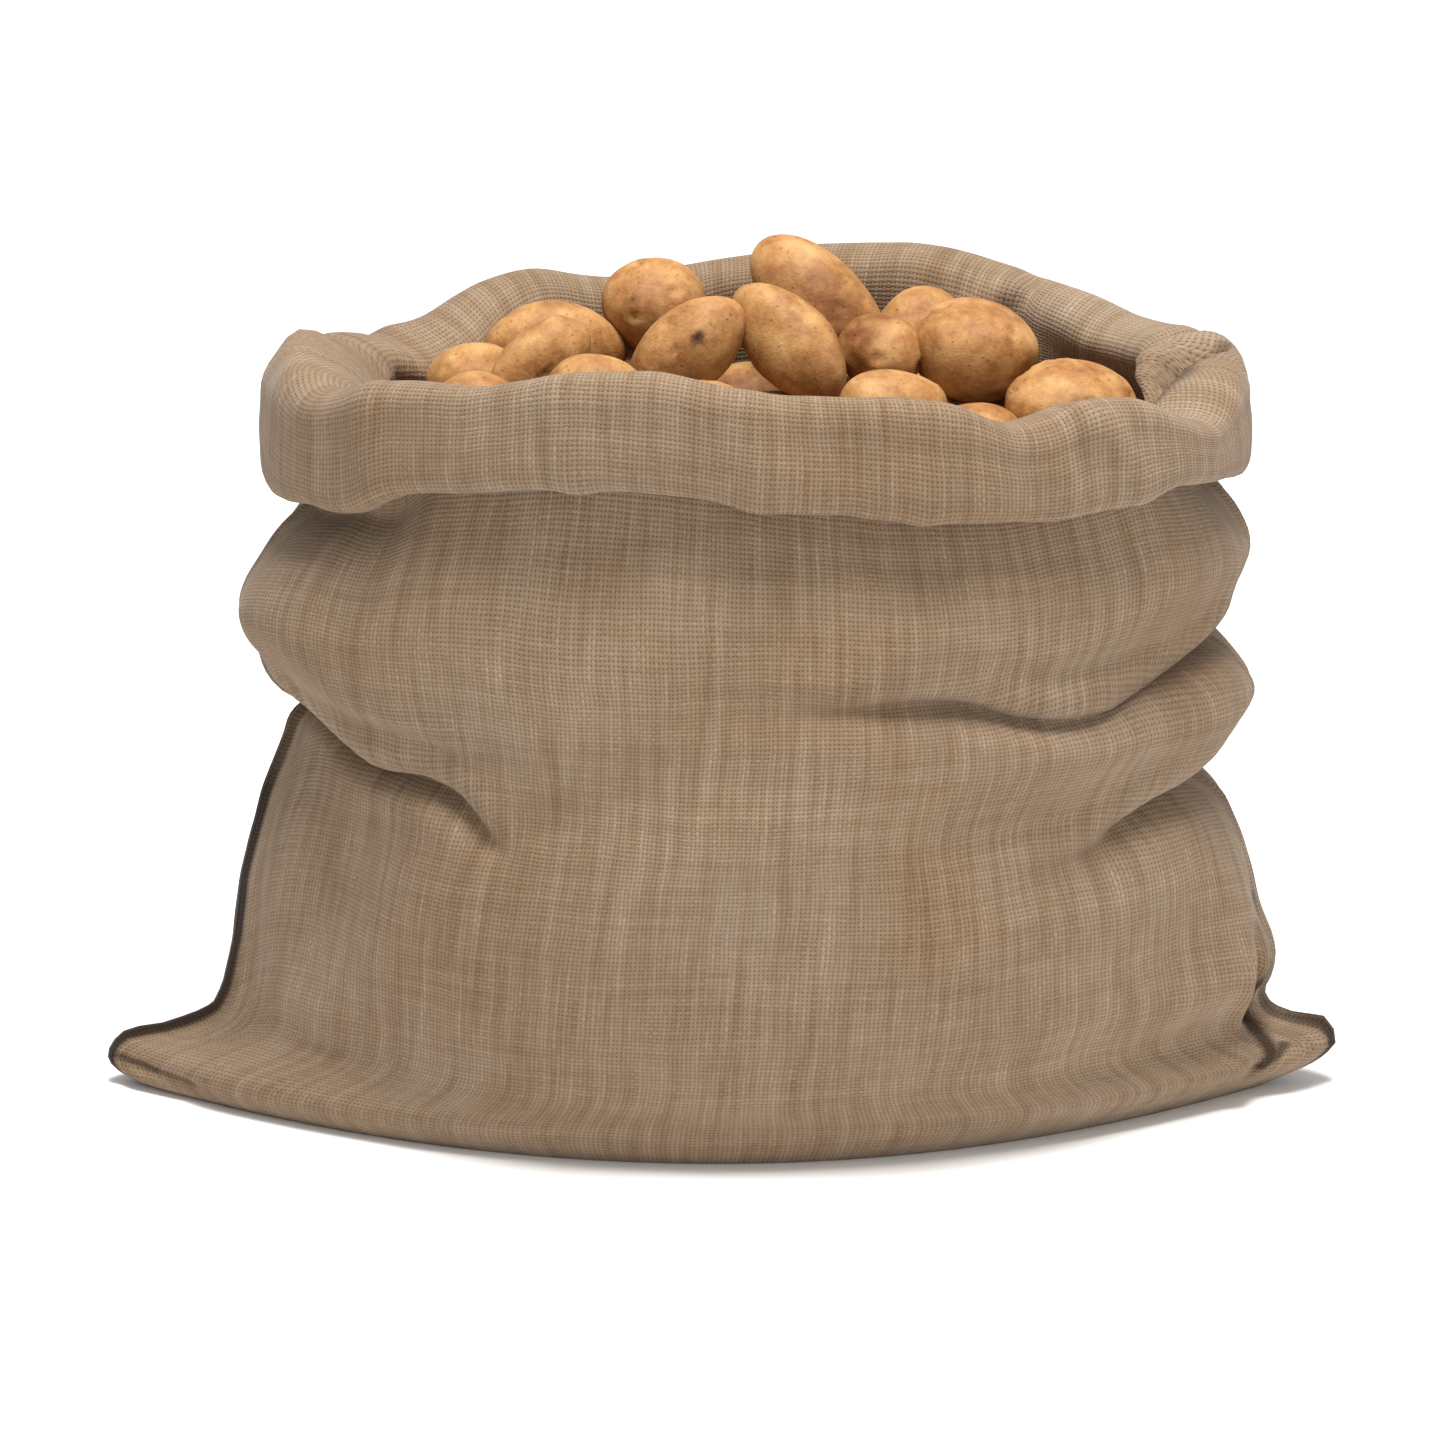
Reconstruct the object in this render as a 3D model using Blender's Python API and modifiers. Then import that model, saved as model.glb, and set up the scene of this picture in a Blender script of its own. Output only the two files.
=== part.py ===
"""Hessian sack of potatoes, standing open with its mouth rolled down into a collar.

Metres, +Z up. X runs along the sack's width, Y through its depth, and the front is -Y.
The origin is on the floor, midway between the two bottom corners of the sack.
Lengths in the tables below are millimetres, and places around the sack are degrees:
0 is the right-hand side, 90 the back, 180 the left-hand side and 270 the front.
"""

import math

import bmesh
import bpy
import numpy as np
from mathutils import Euler, Vector
from mathutils.bvhtree import BVHTree

MM = 0.001

# Driving dimensions -----------------------------------------------------------------
CLOTH = 2.2             # thickness of the hessian
GAP = 0.35              # clearance between pieces that touch
FILL_CLEARANCE = 5.0    # packed potatoes to the cloth, at the sides
FILL_WIDEN = 1.8        # the creases' width on the filling, whose rows are further apart
FILL_SHOULDER = 200.0   # the corners of the sack, further out than this, are part filled
FILL_SQUEEZE = 0.35     # share of a corner's length that the filling reaches into
NECK_HEIGHT = 332.0     # the body's wall ends here and the collar's section begins

SIDE_POINTS = 13        # points of a ring on each rounded side
FACE_POINTS = 17        # points of a ring on the front, and on the back
RING_POINTS = 2 * (SIDE_POINTS + FACE_POINTS)

# Level sections of the sack, outer side, from the floor to the neck.
# "left" and "right" reach from x = 0, "front" and "back" from y = 0, and the last two
# are the radii of the rounded sides: small at the corners and along the side seam.
SECTION_COLUMNS = ("height", "left", "right", "front", "back",
                   "left_round", "right_round", "fullness")
SECTIONS = (
    (0, 286, 268, 104, 104, 6, 7, 2.0),
    (4, 294, 276, 108, 108, 7, 8, 2.0),
    (10, 300, 288, 112, 112, 8, 9, 2.0),
    (17, 298, 297, 115, 115, 8, 9, 2.05),
    (23, 284, 300, 117, 117, 9, 9, 2.1),
    (29, 270, 290, 119, 119, 10, 10, 2.2),
    (36, 254, 272, 122, 122, 12, 18, 2.3),
    (46, 244, 264, 125, 125, 13, 34, 2.4),
    (65, 237, 270, 130, 130, 15, 48, 2.5),
    (95, 232, 261, 136, 136, 17, 60, 2.6),
    (124, 226, 257, 139, 139, 20, 66, 2.6),
    (150, 219, 247, 139, 139, 26, 66, 2.6),
    (170, 212, 236, 138, 138, 34, 64, 2.6),
    (188, 207, 247, 135, 137, 48, 72, 2.6),
    (206, 208, 258, 132, 135, 62, 78, 2.6),
    (224, 219, 248, 131, 132, 74, 76, 2.6),
    (242, 229, 236, 129, 130, 84, 74, 2.6),
    (258, 231, 244, 127, 127, 86, 80, 2.6),
    (282, 222, 254, 121, 121, 84, 84, 2.6),
    (305, 209, 246, 114, 114, 82, 84, 2.6),
    (332, 198, 232, 106, 106, 80, 82, 2.6),
)

# Levels at which the wall has a row of points: close at the corners and the creases.
WALL_LEVELS = (0, 4, 10, 16, 22, 28, 35, 45, 60, 80, 104, 128, 148, 161, 172, 183, 194,
               204, 214, 224, 234, 244, 256, 272, 292, 312, 332)
FILL_LEVELS = (3, 16, 35, 60, 104, 140, 160, 170, 184, 200, 218, 230, 241, 256, 280, 314)

# The collar's section: "out" from the neck's wall, and "down" from the rim as a share
# of the collar's height. It runs from the wall over the rim, down and in under itself.
# "leans" is the share of the rim's lean that each point takes.
COLLAR_COLUMNS = ("out", "down", "leans")
COLLAR = (
    (0.0, 0.60, 0.30),
    (0.0, 0.38, 0.75),
    (0.5, 0.18, 1.00),
    (3.5, 0.05, 0.90),
    (9.5, 0.00, 0.65),
    (15.5, 0.05, 0.35),
    (19.5, 0.18, 0.12),
    (21.5, 0.40, 0.00),
    (21.0, 0.66, 0.00),
    (18.5, 0.86, 0.00),
    (13.5, 0.96, 0.00),
    (8.5, 0.93, 0.00),
    (6.0, 0.80, 0.00),
    (5.5, 0.64, 0.00),
)

# The rim's top and the collar's lower edge, around the mouth, and how far the rim leans
# in over the mouth: most at its two ends, where the cloth is bunched.
RIM_COLUMNS = ("around", "top", "edge", "lean")
RIM = (
    (0, 379, 319, 26),
    (20, 384, 322, 18),
    (40, 387, 326, 8),
    (62, 397, 332, 0),
    (76, 397, 334, 2),
    (92, 387, 330, 4),
    (106, 384, 325, 0),
    (120, 388, 322, 2),
    (132, 372, 314, 12),
    (145, 366, 309, 22),
    (163, 369, 307, 32),
    (185, 374, 310, 36),
    (204, 381, 317, 24),
    (221, 391, 334, 10),
    (239, 399, 344, 3),
    (251, 406, 347, 0),
    (262, 404, 344, 2),
    (275, 397, 340, 0),
    (289, 391, 335, 0),
    (303, 376, 328, 8),
    (315, 378, 325, 4),
    (330, 368, 322, 14),
    (345, 373, 320, 24),
)

# Creases where the cloth is pinched in, each a line of points around the body.
CREASE_COLUMNS = ("around", "height", "depth")
CREASES = {
    "upper_right": (15.0, (
        (270, 236, 0),
        (282, 239, 3),
        (300, 246, 6),
        (312, 231, 9),
        (326, 227, 12),
        (345, 236, 15),
        (360, 243, 10),
        (390, 240, 6),
        (420, 236, 0),
    )),
    "lower_right": (14.0, (
        (292, 170, 0),
        (305, 168, 4),
        (322, 161, 8),
        (338, 170, 12),
        (360, 170, 9),
        (385, 172, 0),
    )),
    "upper_left": (15.0, (
        (140, 206, 0),
        (160, 203, 7),
        (180, 200, 9),
        (208, 204, 14),
        (222, 198, 12),
        (232, 190, 9),
        (243, 174, 5),
        (252, 169, 0),
    )),
    "back": (16.0, (
        (50, 226, 0),
        (70, 214, 6),
        (95, 222, 8),
        (120, 208, 5),
        (138, 202, 0),
    )),
}

# Potatoes on top. "x" and "y" are where each lies, "turn" is about the vertical,
# "lean" tips its right-hand end down. Each comes to rest on what lies under it.
POTATO_COLUMNS = ("x", "y", "length", "width", "depth", "turn", "lean")
POTATOES = (
    (-118, -36, 46, 40, 38, 35, 0),
    (-120, 12, 44, 38, 36, 20, 0),
    (-62, -50, 46, 40, 38, -12, 0),
    (-8, -62, 50, 42, 36, 10, 0),
    (42, -66, 48, 38, 34, -8, 0),
    (82, -54, 44, 40, 38, 12, 0),
    (126, -44, 42, 40, 36, -15, 0),
    (172, -20, 58, 46, 42, 6, 8),
    (-88, 50, 48, 42, 40, 10, 0),
    (-76, -6, 60, 42, 42, 14, -22),
    (-35, 60, 54, 50, 46, 0, 0),
    (-13, 10, 56, 45, 45, -20, 6),
    (75, 8, 42, 38, 36, 30, 0),
    (102, 66, 44, 40, 40, 30, 0),
    (39, -19, 60, 40, 40, -24, 26),
    (128, 18, 63, 48, 46, -6, 6),
    (46, 48, 74, 52, 48, -22, 28),
)

# Packed potatoes that show between them.
BED_POTATO_COLUMNS = ("x", "y", "z", "length", "width", "turn")
BED_POTATOES = (
    (-152, -22, 320, 60, 54, 10),
    (-142, 27, 319, 60, 50, -30),
    (-104, -58, 327, 67, 54, 25),
    (-88, 2, 337, 67, 58, -10),
    (-100, 60, 323, 65, 52, 20),
    (-44, -58, 323, 67, 56, -20),
    (-24, 6, 338, 67, 58, 15),
    (-38, 60, 340, 63, 56, -12),
    (20, -62, 321, 69, 54, 8),
    (30, -4, 333, 65, 56, -28),
    (18, 62, 329, 67, 56, 20),
    (80, -58, 321, 65, 56, -15),
    (84, 4, 333, 69, 58, 22),
    (92, 62, 337, 63, 52, -8),
    (142, -38, 321, 67, 56, 18),
    (136, 26, 324, 67, 56, -24),
    (192, 0, 323, 61, 52, 80),
)
BED_POTATO_DEPTH = 48.0     # height of a packed potato


# Tables and curves --------------------------------------------------------------------
def column(table, names, name):
    """One named column of a table, as an array."""
    return np.array([row[names.index(name)] for row in table], dtype=float)


def smooth(at, places, values):
    """A smooth curve through a table's points: cubic pieces whose slope at each point
    is that of the line between its two neighbours."""
    at = np.clip(at, places[0], places[-1])
    slopes = np.gradient(values, places)
    cell = np.clip(np.searchsorted(places, at, side="right") - 1, 0, len(places) - 2)
    step = places[cell + 1] - places[cell]
    t = (at - places[cell]) / step
    return ((1 + 2 * t) * (1 - t) ** 2 * values[cell]
            + t * (1 - t) ** 2 * step * slopes[cell]
            + t * t * (3 - 2 * t) * values[cell + 1]
            + t * t * (t - 1) * step * slopes[cell + 1])


def smooth_around(around, places, values):
    """The same for a table that goes once round the sack and joins up."""
    places = np.concatenate((places[-3:] - 360, places, places[:3] + 360))
    values = np.concatenate((values[-3:], values, values[:3]))
    return smooth(around % 360, places, values)


# The sack -----------------------------------------------------------------------------
def section_at(height):
    """The sack's section at a height, read from the table of sections."""
    heights = column(SECTIONS, SECTION_COLUMNS, "height")
    return {name: float(smooth(np.array([height], dtype=float), heights,
                               column(SECTIONS, SECTION_COLUMNS, name))[0])
            for name in SECTION_COLUMNS[1:]}


def ring(section, out=0.0):
    """Points and outward directions of one level ring, counter-clockwise from the right.

    The ring is a lens of two arched halves, widened all round by a disc: the disc's
    radius rounds the two sides, and `out` moves the whole ring outwards.
    """
    full = section["fullness"]
    share = np.linspace(-1, 1, FACE_POINTS + 2)[1:-1]
    share = 0.35 * share + 0.65 * np.sin(share * math.pi / 2)

    def arch(share, depth):
        """Half of the ring, from right to left, seen with its bulge towards +Y."""
        right = share >= 0
        radius = np.where(right, section["right_round"], section["left_round"])
        reach = np.where(right, section["right"], section["left"]) - radius
        rise = depth - radius
        slope = full * rise * np.sign(share) * np.abs(share) ** (full - 1) / reach
        normal = np.stack((slope, np.ones_like(share)), axis=1)
        normal /= np.linalg.norm(normal, axis=1)[:, None]
        place = np.stack((reach * share, rise * (1 - np.abs(share) ** full)), axis=1)
        return place + (radius + out)[:, None] * normal, normal

    def side(radius, reach, facing):
        """A rounded side: an arc between the ends of the two arches."""
        tips = [math.atan2(1.0, full * (depth - radius) / (reach - radius))
                for depth in (section["front"], section["back"])]
        turn = np.linspace(-tips[0], tips[1], SIDE_POINTS)
        normal = np.stack((facing * np.cos(turn), np.sin(turn)), axis=1)
        place = np.array((facing * (reach - radius), 0.0)) + (radius + out) * normal
        return place, normal

    flip = np.array((1.0, -1.0))
    back, back_normal = arch(share[::-1], section["back"])
    front, front_normal = arch(share, section["front"])
    right, right_normal = side(section["right_round"], section["right"], 1.0)
    left, left_normal = side(section["left_round"], section["left"], -1.0)
    places = np.concatenate((right, back, left[::-1], front * flip))
    normals = np.concatenate((right_normal, back_normal, left_normal[::-1],
                              front_normal * flip))
    middle = SIDE_POINTS // 2
    return np.roll(places, -middle, axis=0), np.roll(normals, -middle, axis=0)


def around_of(places, section):
    """Where the points of a ring are around the sack, in degrees."""
    reach = np.where(places[:, 0] >= 0, section["right"], section["left"])
    depth = np.where(places[:, 1] >= 0, section["back"], section["front"])
    return np.degrees(np.arctan2(places[:, 1] / depth, places[:, 0] / reach)) % 360


def crease_depth(around, height, widen=1.0):
    """How far the creases pull the cloth in: across each, a bell of its half-width."""
    depth = np.zeros_like(around)
    for half_width, line in CREASES.values():
        places = column(line, CREASE_COLUMNS, "around")
        for turn in (0, 360):
            level = np.interp(around + turn, places, column(line, CREASE_COLUMNS, "height"))
            deep = np.interp(around + turn, places, column(line, CREASE_COLUMNS, "depth"),
                             left=0.0, right=0.0)
            depth += deep * np.exp(-((height - level) / (half_width * widen)) ** 2)
    return depth


def lump_height(around, height):
    """The filling presses low lumps into the cloth, away from the floor and the neck."""
    turn = np.radians(around)
    held = np.clip(height / 90, 0, 1) * np.clip((NECK_HEIGHT - height) / 60, 0, 1)
    lumps = (1.5 * np.sin(7 * turn + height / 31) + 1.2 * np.sin(11 * turn - height / 23 + 1.3)
             + 1.0 * np.sin(5 * turn - height / 17 + 0.4))
    return held * lumps


def wall_row(level, out=0.0, widen=1.0):
    """One row of the body's wall. Near the neck it rises and falls with the rim."""
    section = section_at(level)
    places, normals = ring(section, out)
    around = around_of(places, section)
    moved = lump_height(around, level) - crease_depth(around, level, widen)
    places = places + moved[:, None] * normals
    edge = smooth_around(around, column(RIM, RIM_COLUMNS, "around"),
                         column(RIM, RIM_COLUMNS, "edge"))
    follow = np.clip((level - 215) / (NECK_HEIGHT - 215), 0, 1) ** 1.5
    heights = level + follow * (edge - edge.mean())
    return np.column_stack((places, heights))


def collar_rows():
    """The rows of the collar: its section carried round the neck, from rim to edge."""
    section = section_at(NECK_HEIGHT)
    rows = []
    for out, down, leans in COLLAR:
        places, normals = ring(section, out)
        around = around_of(places, section)
        top, edge, lean = (smooth_around(around, column(RIM, RIM_COLUMNS, "around"),
                                         column(RIM, RIM_COLUMNS, name))
                           for name in RIM_COLUMNS[1:])
        places = places - (leans * lean)[:, None] * normals
        rows.append(np.column_stack((places, top - down * (top - edge))))
    return rows


def loft_faces(rows):
    """Quads between rows of points, all facing out."""
    count = len(rows[0])
    faces = []
    for row in range(len(rows) - 1):
        for point in range(count):
            along = (point + 1) % count
            low, high = row * count, (row + 1) * count
            faces.append((low + point, low + along, high + along, high + point))
    return faces


def cap_faces(count, first, facing_up):
    """A ring's cap: strips across it between its back and its front points."""
    half = count // 2
    strips = [(0, count - 1, 1)]
    strips += [(point, count - point, count - point - 1, point + 1)
               for point in range(1, half - 1)]
    strips.append((half - 1, half + 1, half))
    if facing_up:
        strips = [strip[::-1] for strip in strips]
    return [tuple(first + point for point in strip) for strip in strips]


# Objects ------------------------------------------------------------------------------
def material(name, colour, roughness):
    """A Principled material with one plain colour."""
    made = bpy.data.materials.new(name)
    made.use_nodes = True
    shader = made.node_tree.nodes["Principled BSDF"]
    shader.inputs["Base Color"].default_value = (*colour, 1.0)
    shader.inputs["Roughness"].default_value = roughness
    shader.inputs["Metallic"].default_value = 0.0
    return made


def add_object(name, mesh, surface, collection):
    """An object with a smooth-shaded mesh and its material, in a collection."""
    mesh.shade_smooth()
    mesh.materials.append(surface)
    made = bpy.data.objects.new(name, mesh)
    collection.objects.link(made)
    return made


def mesh_of(name, points, faces):
    """A mesh from points in millimetres."""
    mesh = bpy.data.meshes.new(name)
    mesh.from_pydata((np.asarray(points) * MM).tolist(), [], faces)
    mesh.update()
    return mesh


def make_sack(surface, collection):
    """The cloth: one open surface from the base over the rim to the hem, made thick."""
    rows = [wall_row(level) for level in WALL_LEVELS] + collar_rows()
    faces = cap_faces(RING_POINTS, 0, facing_up=False) + loft_faces(rows)
    sack = add_object("sack", mesh_of("sack", np.concatenate(rows), faces), surface, collection)
    wall = sack.modifiers.new("cloth", "SOLIDIFY")
    wall.thickness = CLOTH * MM
    wall.offset = -1.0
    wall.use_even_offset = True
    return sack


def potato_mesh(name, length, width, depth, number, segments, rings):
    """A potato: a ball drawn out to three sizes, with uneven cheeks and a slight bend."""
    shape = bmesh.new()
    bmesh.ops.create_uvsphere(shape, u_segments=segments, v_segments=rings, radius=0.5)
    for vertex in shape.verts:
        along, across, up = vertex.co * 2
        cheeks = (1 + 0.05 * math.sin(2.1 * along + 1.7 * number)
                  + 0.04 * math.sin(3.3 * across + 2.3 * number)
                  + 0.04 * math.sin(2.7 * up + 1.1 * number))
        bend = 0.06 * (along * along - 0.4) * math.cos(2.9 * number)
        vertex.co = Vector((along * length * cheeks, (across * cheeks + bend) * width,
                            up * depth * cheeks)) * MM / 2
    mesh = bpy.data.meshes.new(name)
    shape.to_mesh(mesh)
    shape.free()
    return mesh


def make_bed(surface, collection, guides):
    """The packed potatoes: a filling inside the cloth, with round tops joined on."""
    rows = []
    for level in FILL_LEVELS:
        row = wall_row(level, -CLOTH - FILL_CLEARANCE, FILL_WIDEN)
        squeeze = FILL_SQUEEZE + (1 - FILL_SQUEEZE) * min(max((level - 30) / 40, 0), 1)
        past = np.clip(np.abs(row[:, 0]) - FILL_SHOULDER, 0, None)
        row[:, 0] -= np.sign(row[:, 0]) * past * (1 - squeeze)
        rows.append(row[::2])
    rows[0][:, 2] = CLOTH + GAP
    count = len(rows[0])
    top = (len(rows) - 1) * count
    faces = (cap_faces(count, 0, facing_up=False) + loft_faces(rows)
             + cap_faces(count, top, facing_up=True))
    bed = add_object("potato_bed", mesh_of("potato_bed", np.concatenate(rows), faces),
                     surface, collection)
    for number, (x, y, z, length, width, turn) in enumerate(BED_POTATOES):
        mesh = potato_mesh("bed_potato", length, width, BED_POTATO_DEPTH, number, 10, 7)
        round_top = bpy.data.objects.new(f"bed_potato_{number + 1:02d}", mesh)
        round_top.location = Vector((x, y, z)) * MM
        round_top.rotation_euler = Euler((0, 0, math.radians(turn)))
        round_top.hide_render = True
        round_top.display_type = "WIRE"
        guides.objects.link(round_top)
        joined = bed.modifiers.new(round_top.name, "BOOLEAN")
        joined.operation = "UNION"
        joined.object = round_top
    return bed


def tree_of(made, grow=0.0, lift=0.0):
    """A search tree of an object's faces as it stands, grown outwards and lifted."""
    graph = bpy.context.evaluated_depsgraph_get()
    mesh = made.evaluated_get(graph).to_mesh()
    matrix = made.matrix_world
    points = [matrix @ vertex.co + matrix.to_3x3() @ vertex.normal * grow + Vector((0, 0, lift))
              for vertex in mesh.vertices]
    tree = BVHTree.FromPolygons(points, [tuple(face.vertices) for face in mesh.polygons])
    return tree


def settle(potato, standing):
    """Lower a potato until it is GAP away from what it rests on."""
    high, step = 0.0, 4 * MM

    def meets(lift):
        """Whether the potato, grown by the gap, meets anything at this lift."""
        tree = tree_of(potato, GAP * MM, lift)
        return any(tree.overlap(other) for other in standing)

    while not meets(high - step):
        high -= step
    low = high - step
    for _ in range(12):
        middle = (low + high) / 2
        if meets(middle):
            low = middle
        else:
            high = middle
    potato.location.z += high
    bpy.context.view_layer.update()


def make_potatoes(surface, collection, standing):
    """The potatoes on top, each lowered onto the ones that lie there already."""
    for number, (x, y, length, width, depth, turn, lean) in enumerate(POTATOES, start=1):
        name = f"potato_{number:02d}"
        mesh = potato_mesh(name, length, width, depth, number, 12, 7)
        potato = add_object(name, mesh, surface, collection)
        potato.location = Vector((x, y, 460)) * MM
        potato.rotation_euler = Euler((0, math.radians(lean), math.radians(turn)))
        bpy.context.view_layer.update()
        settle(potato, standing)
        standing.append(tree_of(potato))


def main():
    """Clear the scene and build the sack with its potatoes."""
    for old in list(bpy.data.objects):
        bpy.data.objects.remove(old)
    collection = bpy.data.collections.new("hessian_sack")
    guides = bpy.data.collections.new("guides")
    for each in (collection, guides):
        bpy.context.scene.collection.children.link(each)
    hessian = material("hessian", (0.33, 0.23, 0.14), 0.95)
    skin = material("potato_skin", (0.57, 0.33, 0.13), 0.6)
    sack = make_sack(hessian, collection)
    bed = make_bed(skin, collection, guides)
    bpy.context.view_layer.update()
    make_potatoes(skin, collection, [tree_of(sack), tree_of(bed)])


main()
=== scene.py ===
"""Looks of a hessian sack of potatoes whose mouth is rolled down into a collar.

The sack is one sheet of cloth, laid out in its own cloth coordinates: u runs across each
panel from its left side seam, and v runs up from the bottom seam, over the rim and into
the roll. Lengths are millimetres until they reach a mesh or a material. Places around
the sack are degrees: 0 is the right-hand side, 90 the back, 180 the left-hand side and
270 the front.
"""

import math

import bpy
import numpy as np
from mathutils import Euler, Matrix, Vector


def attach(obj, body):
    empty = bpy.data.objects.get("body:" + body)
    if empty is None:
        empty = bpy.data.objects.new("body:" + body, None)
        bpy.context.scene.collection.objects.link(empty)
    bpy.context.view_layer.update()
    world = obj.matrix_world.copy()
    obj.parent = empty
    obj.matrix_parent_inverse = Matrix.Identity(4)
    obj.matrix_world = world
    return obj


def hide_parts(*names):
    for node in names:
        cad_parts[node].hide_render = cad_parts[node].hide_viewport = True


MM = 0.001
CLOTH = 1.5                  # thickness of the hessian as it shows
SACK_WIDTH = 600.0           # the empty sack lying flat, side seam to side seam
BACK_PANEL = 700.0           # where the back panel's u begins, clear of the front's
NECK_HEIGHT = 332.0          # where the wall ends, inside the collar
COLUMNS = 340                # points round the sack
HALF = COLUMNS // 2          # points on each panel, and the left side seam's column
CROWD = 0.4                  # how much closer the columns stand at the side seams
DRIFT = 14.0                 # how far to the right the middle thread stands
DRIFT_HEIGHT = 220.0         # above this height, and less and less below it
ARCH_POINTS = 401            # points that draw a level section's front or back
TIP_POINTS = 40              # and one half of a rounded side
THREAD_PITCH = 2.15          # one warp or weft thread and the gap beside it

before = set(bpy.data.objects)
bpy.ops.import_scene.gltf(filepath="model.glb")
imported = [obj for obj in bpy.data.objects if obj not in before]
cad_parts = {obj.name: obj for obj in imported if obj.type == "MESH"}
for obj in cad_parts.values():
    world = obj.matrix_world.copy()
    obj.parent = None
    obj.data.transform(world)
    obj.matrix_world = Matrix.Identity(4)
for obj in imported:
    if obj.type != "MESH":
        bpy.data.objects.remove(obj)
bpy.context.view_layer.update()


# The sack's own sections --------------------------------------------------------------
# Level sections, outer side: how far each reaches from the middle, the radii of its two
# sides, and how full its arched front and back.
SECTION_COLUMNS = ("height", "left", "right", "front", "back",
                   "left_round", "right_round", "fullness")
SECTIONS = (
    (0, 286, 268, 104, 104, 6, 7, 2.0),
    (4, 294, 276, 108, 108, 7, 8, 2.0),
    (10, 300, 288, 112, 112, 8, 9, 2.0),
    (17, 298, 297, 115, 115, 8, 9, 2.05),
    (23, 288, 300, 117, 117, 9, 9, 2.1),
    (29, 266, 290, 119, 119, 10, 10, 2.2),
    (36, 249, 272, 122, 122, 12, 18, 2.3),
    (46, 241, 264, 125, 125, 13, 34, 2.4),
    (65, 236, 270, 130, 130, 15, 48, 2.5),
    (95, 232, 261, 136, 136, 17, 60, 2.6),
    (124, 226, 257, 139, 139, 20, 66, 2.6),
    (150, 219, 247, 139, 139, 26, 66, 2.6),
    (170, 212, 236, 138, 138, 34, 64, 2.6),
    (188, 207, 247, 135, 137, 48, 72, 2.6),
    (206, 208, 258, 132, 135, 62, 78, 2.6),
    (224, 219, 248, 131, 132, 74, 76, 2.6),
    (242, 229, 236, 129, 130, 84, 74, 2.6),
    (258, 231, 244, 127, 127, 86, 80, 2.6),
    (282, 222, 254, 121, 121, 84, 84, 2.6),
    (305, 209, 246, 114, 114, 82, 84, 2.6),
    (332, 198, 232, 106, 106, 80, 82, 2.6),
)

# The rim's top, the collar's lower edge and the rim's lean over the mouth.
RIM_COLUMNS = ("around", "top", "edge", "lean")
RIM = (
    (0, 375, 319, 26), (10, 377, 320, 23), (20, 376, 322, 18), (28, 373, 323, 14),
    (34, 370, 325, 11), (42, 371, 326, 7), (50, 379, 329, 3), (58, 388, 331, 1),
    (66, 396, 333, 0), (76, 396, 334, 2), (84, 394, 333, 3), (91, 386, 330, 4),
    (98, 379, 328, 2), (106, 377, 325, 0), (114, 385, 324, 4), (122, 381, 321, 15),
    (130, 369, 315, 30), (138, 362, 311, 33), (146, 367, 309, 29), (154, 371, 307, 28),
    (163, 374, 307, 32), (174, 374, 308, 36), (185, 376, 310, 36), (196, 375, 311, 30),
    (204, 375, 313, 24), (210, 375, 316, 19), (216, 380, 315, 14), (221, 385, 317, 10),
    (227, 390, 330, 7), (233, 392, 336, 5), (239, 393, 340, 3), (245, 397, 344, 1),
    (251, 402, 345, 0), (256, 402, 345, 1), (262, 403, 343, 2), (269, 398, 339, 1),
    (275, 394, 336, 0), (282, 392, 332, 0), (289, 390, 328, 0), (295, 384, 326, 4),
    (300, 374, 324, 7), (305, 376, 324, 8), (309, 382, 326, 6), (315, 382, 328, 4),
    (322, 371, 334, 8), (328, 362, 332, 13), (334, 359, 329, 17), (340, 366, 326, 21),
    (346, 371, 322, 24), (353, 373, 318, 26),
)

# The collar's section: from the neck's wall over the rim, down its outer face, under,
# and up into the flat roll that ends in the hem. "out" is from the wall, "down" is a
# share of the collar's height, and "leans" the share of the rim's lean.
COLLAR_COLUMNS = ("out", "down", "leans")
COLLAR = (
    (0.0, 0.60, 0.30),
    (0.0, 0.38, 0.75),
    (0.8, 0.20, 1.00),
    (4.5, 0.08, 0.90),
    (10.5, 0.02, 0.60),
    (16.0, 0.00, 0.30),
    (19.0, 0.08, 0.10),
    (20.6, 0.34, 0.00),
    (21.8, 0.66, 0.00),
    (20.4, 0.87, 0.00),
    (14.5, 0.97, 0.00),
    (7.0, 0.93, 0.00),
    (3.6, 0.80, 0.05),
    (3.2, 0.50, 0.35),
    (4.0, 0.24, 0.80),
    (8.0, 0.13, 0.60),
    (12.0, 0.13, 0.42),
    (16.0, 0.22, 0.20),
    (17.8, 0.45, 0.00),
    (17.3, 0.68, 0.00),
    (14.5, 0.85, 0.00),
    (10.0, 0.86, 0.00),
    (7.0, 0.75, 0.00),
    (6.4, 0.50, 0.25),
    (7.6, 0.32, 0.50),
    (10.8, 0.24, 0.40),
    (13.6, 0.33, 0.20),
    (14.3, 0.55, 0.00),
    (13.2, 0.70, 0.00),
    (11.4, 0.77, 0.00),
    (9.6, 0.69, 0.00),
    (9.3, 0.52, 0.10),
)

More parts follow.
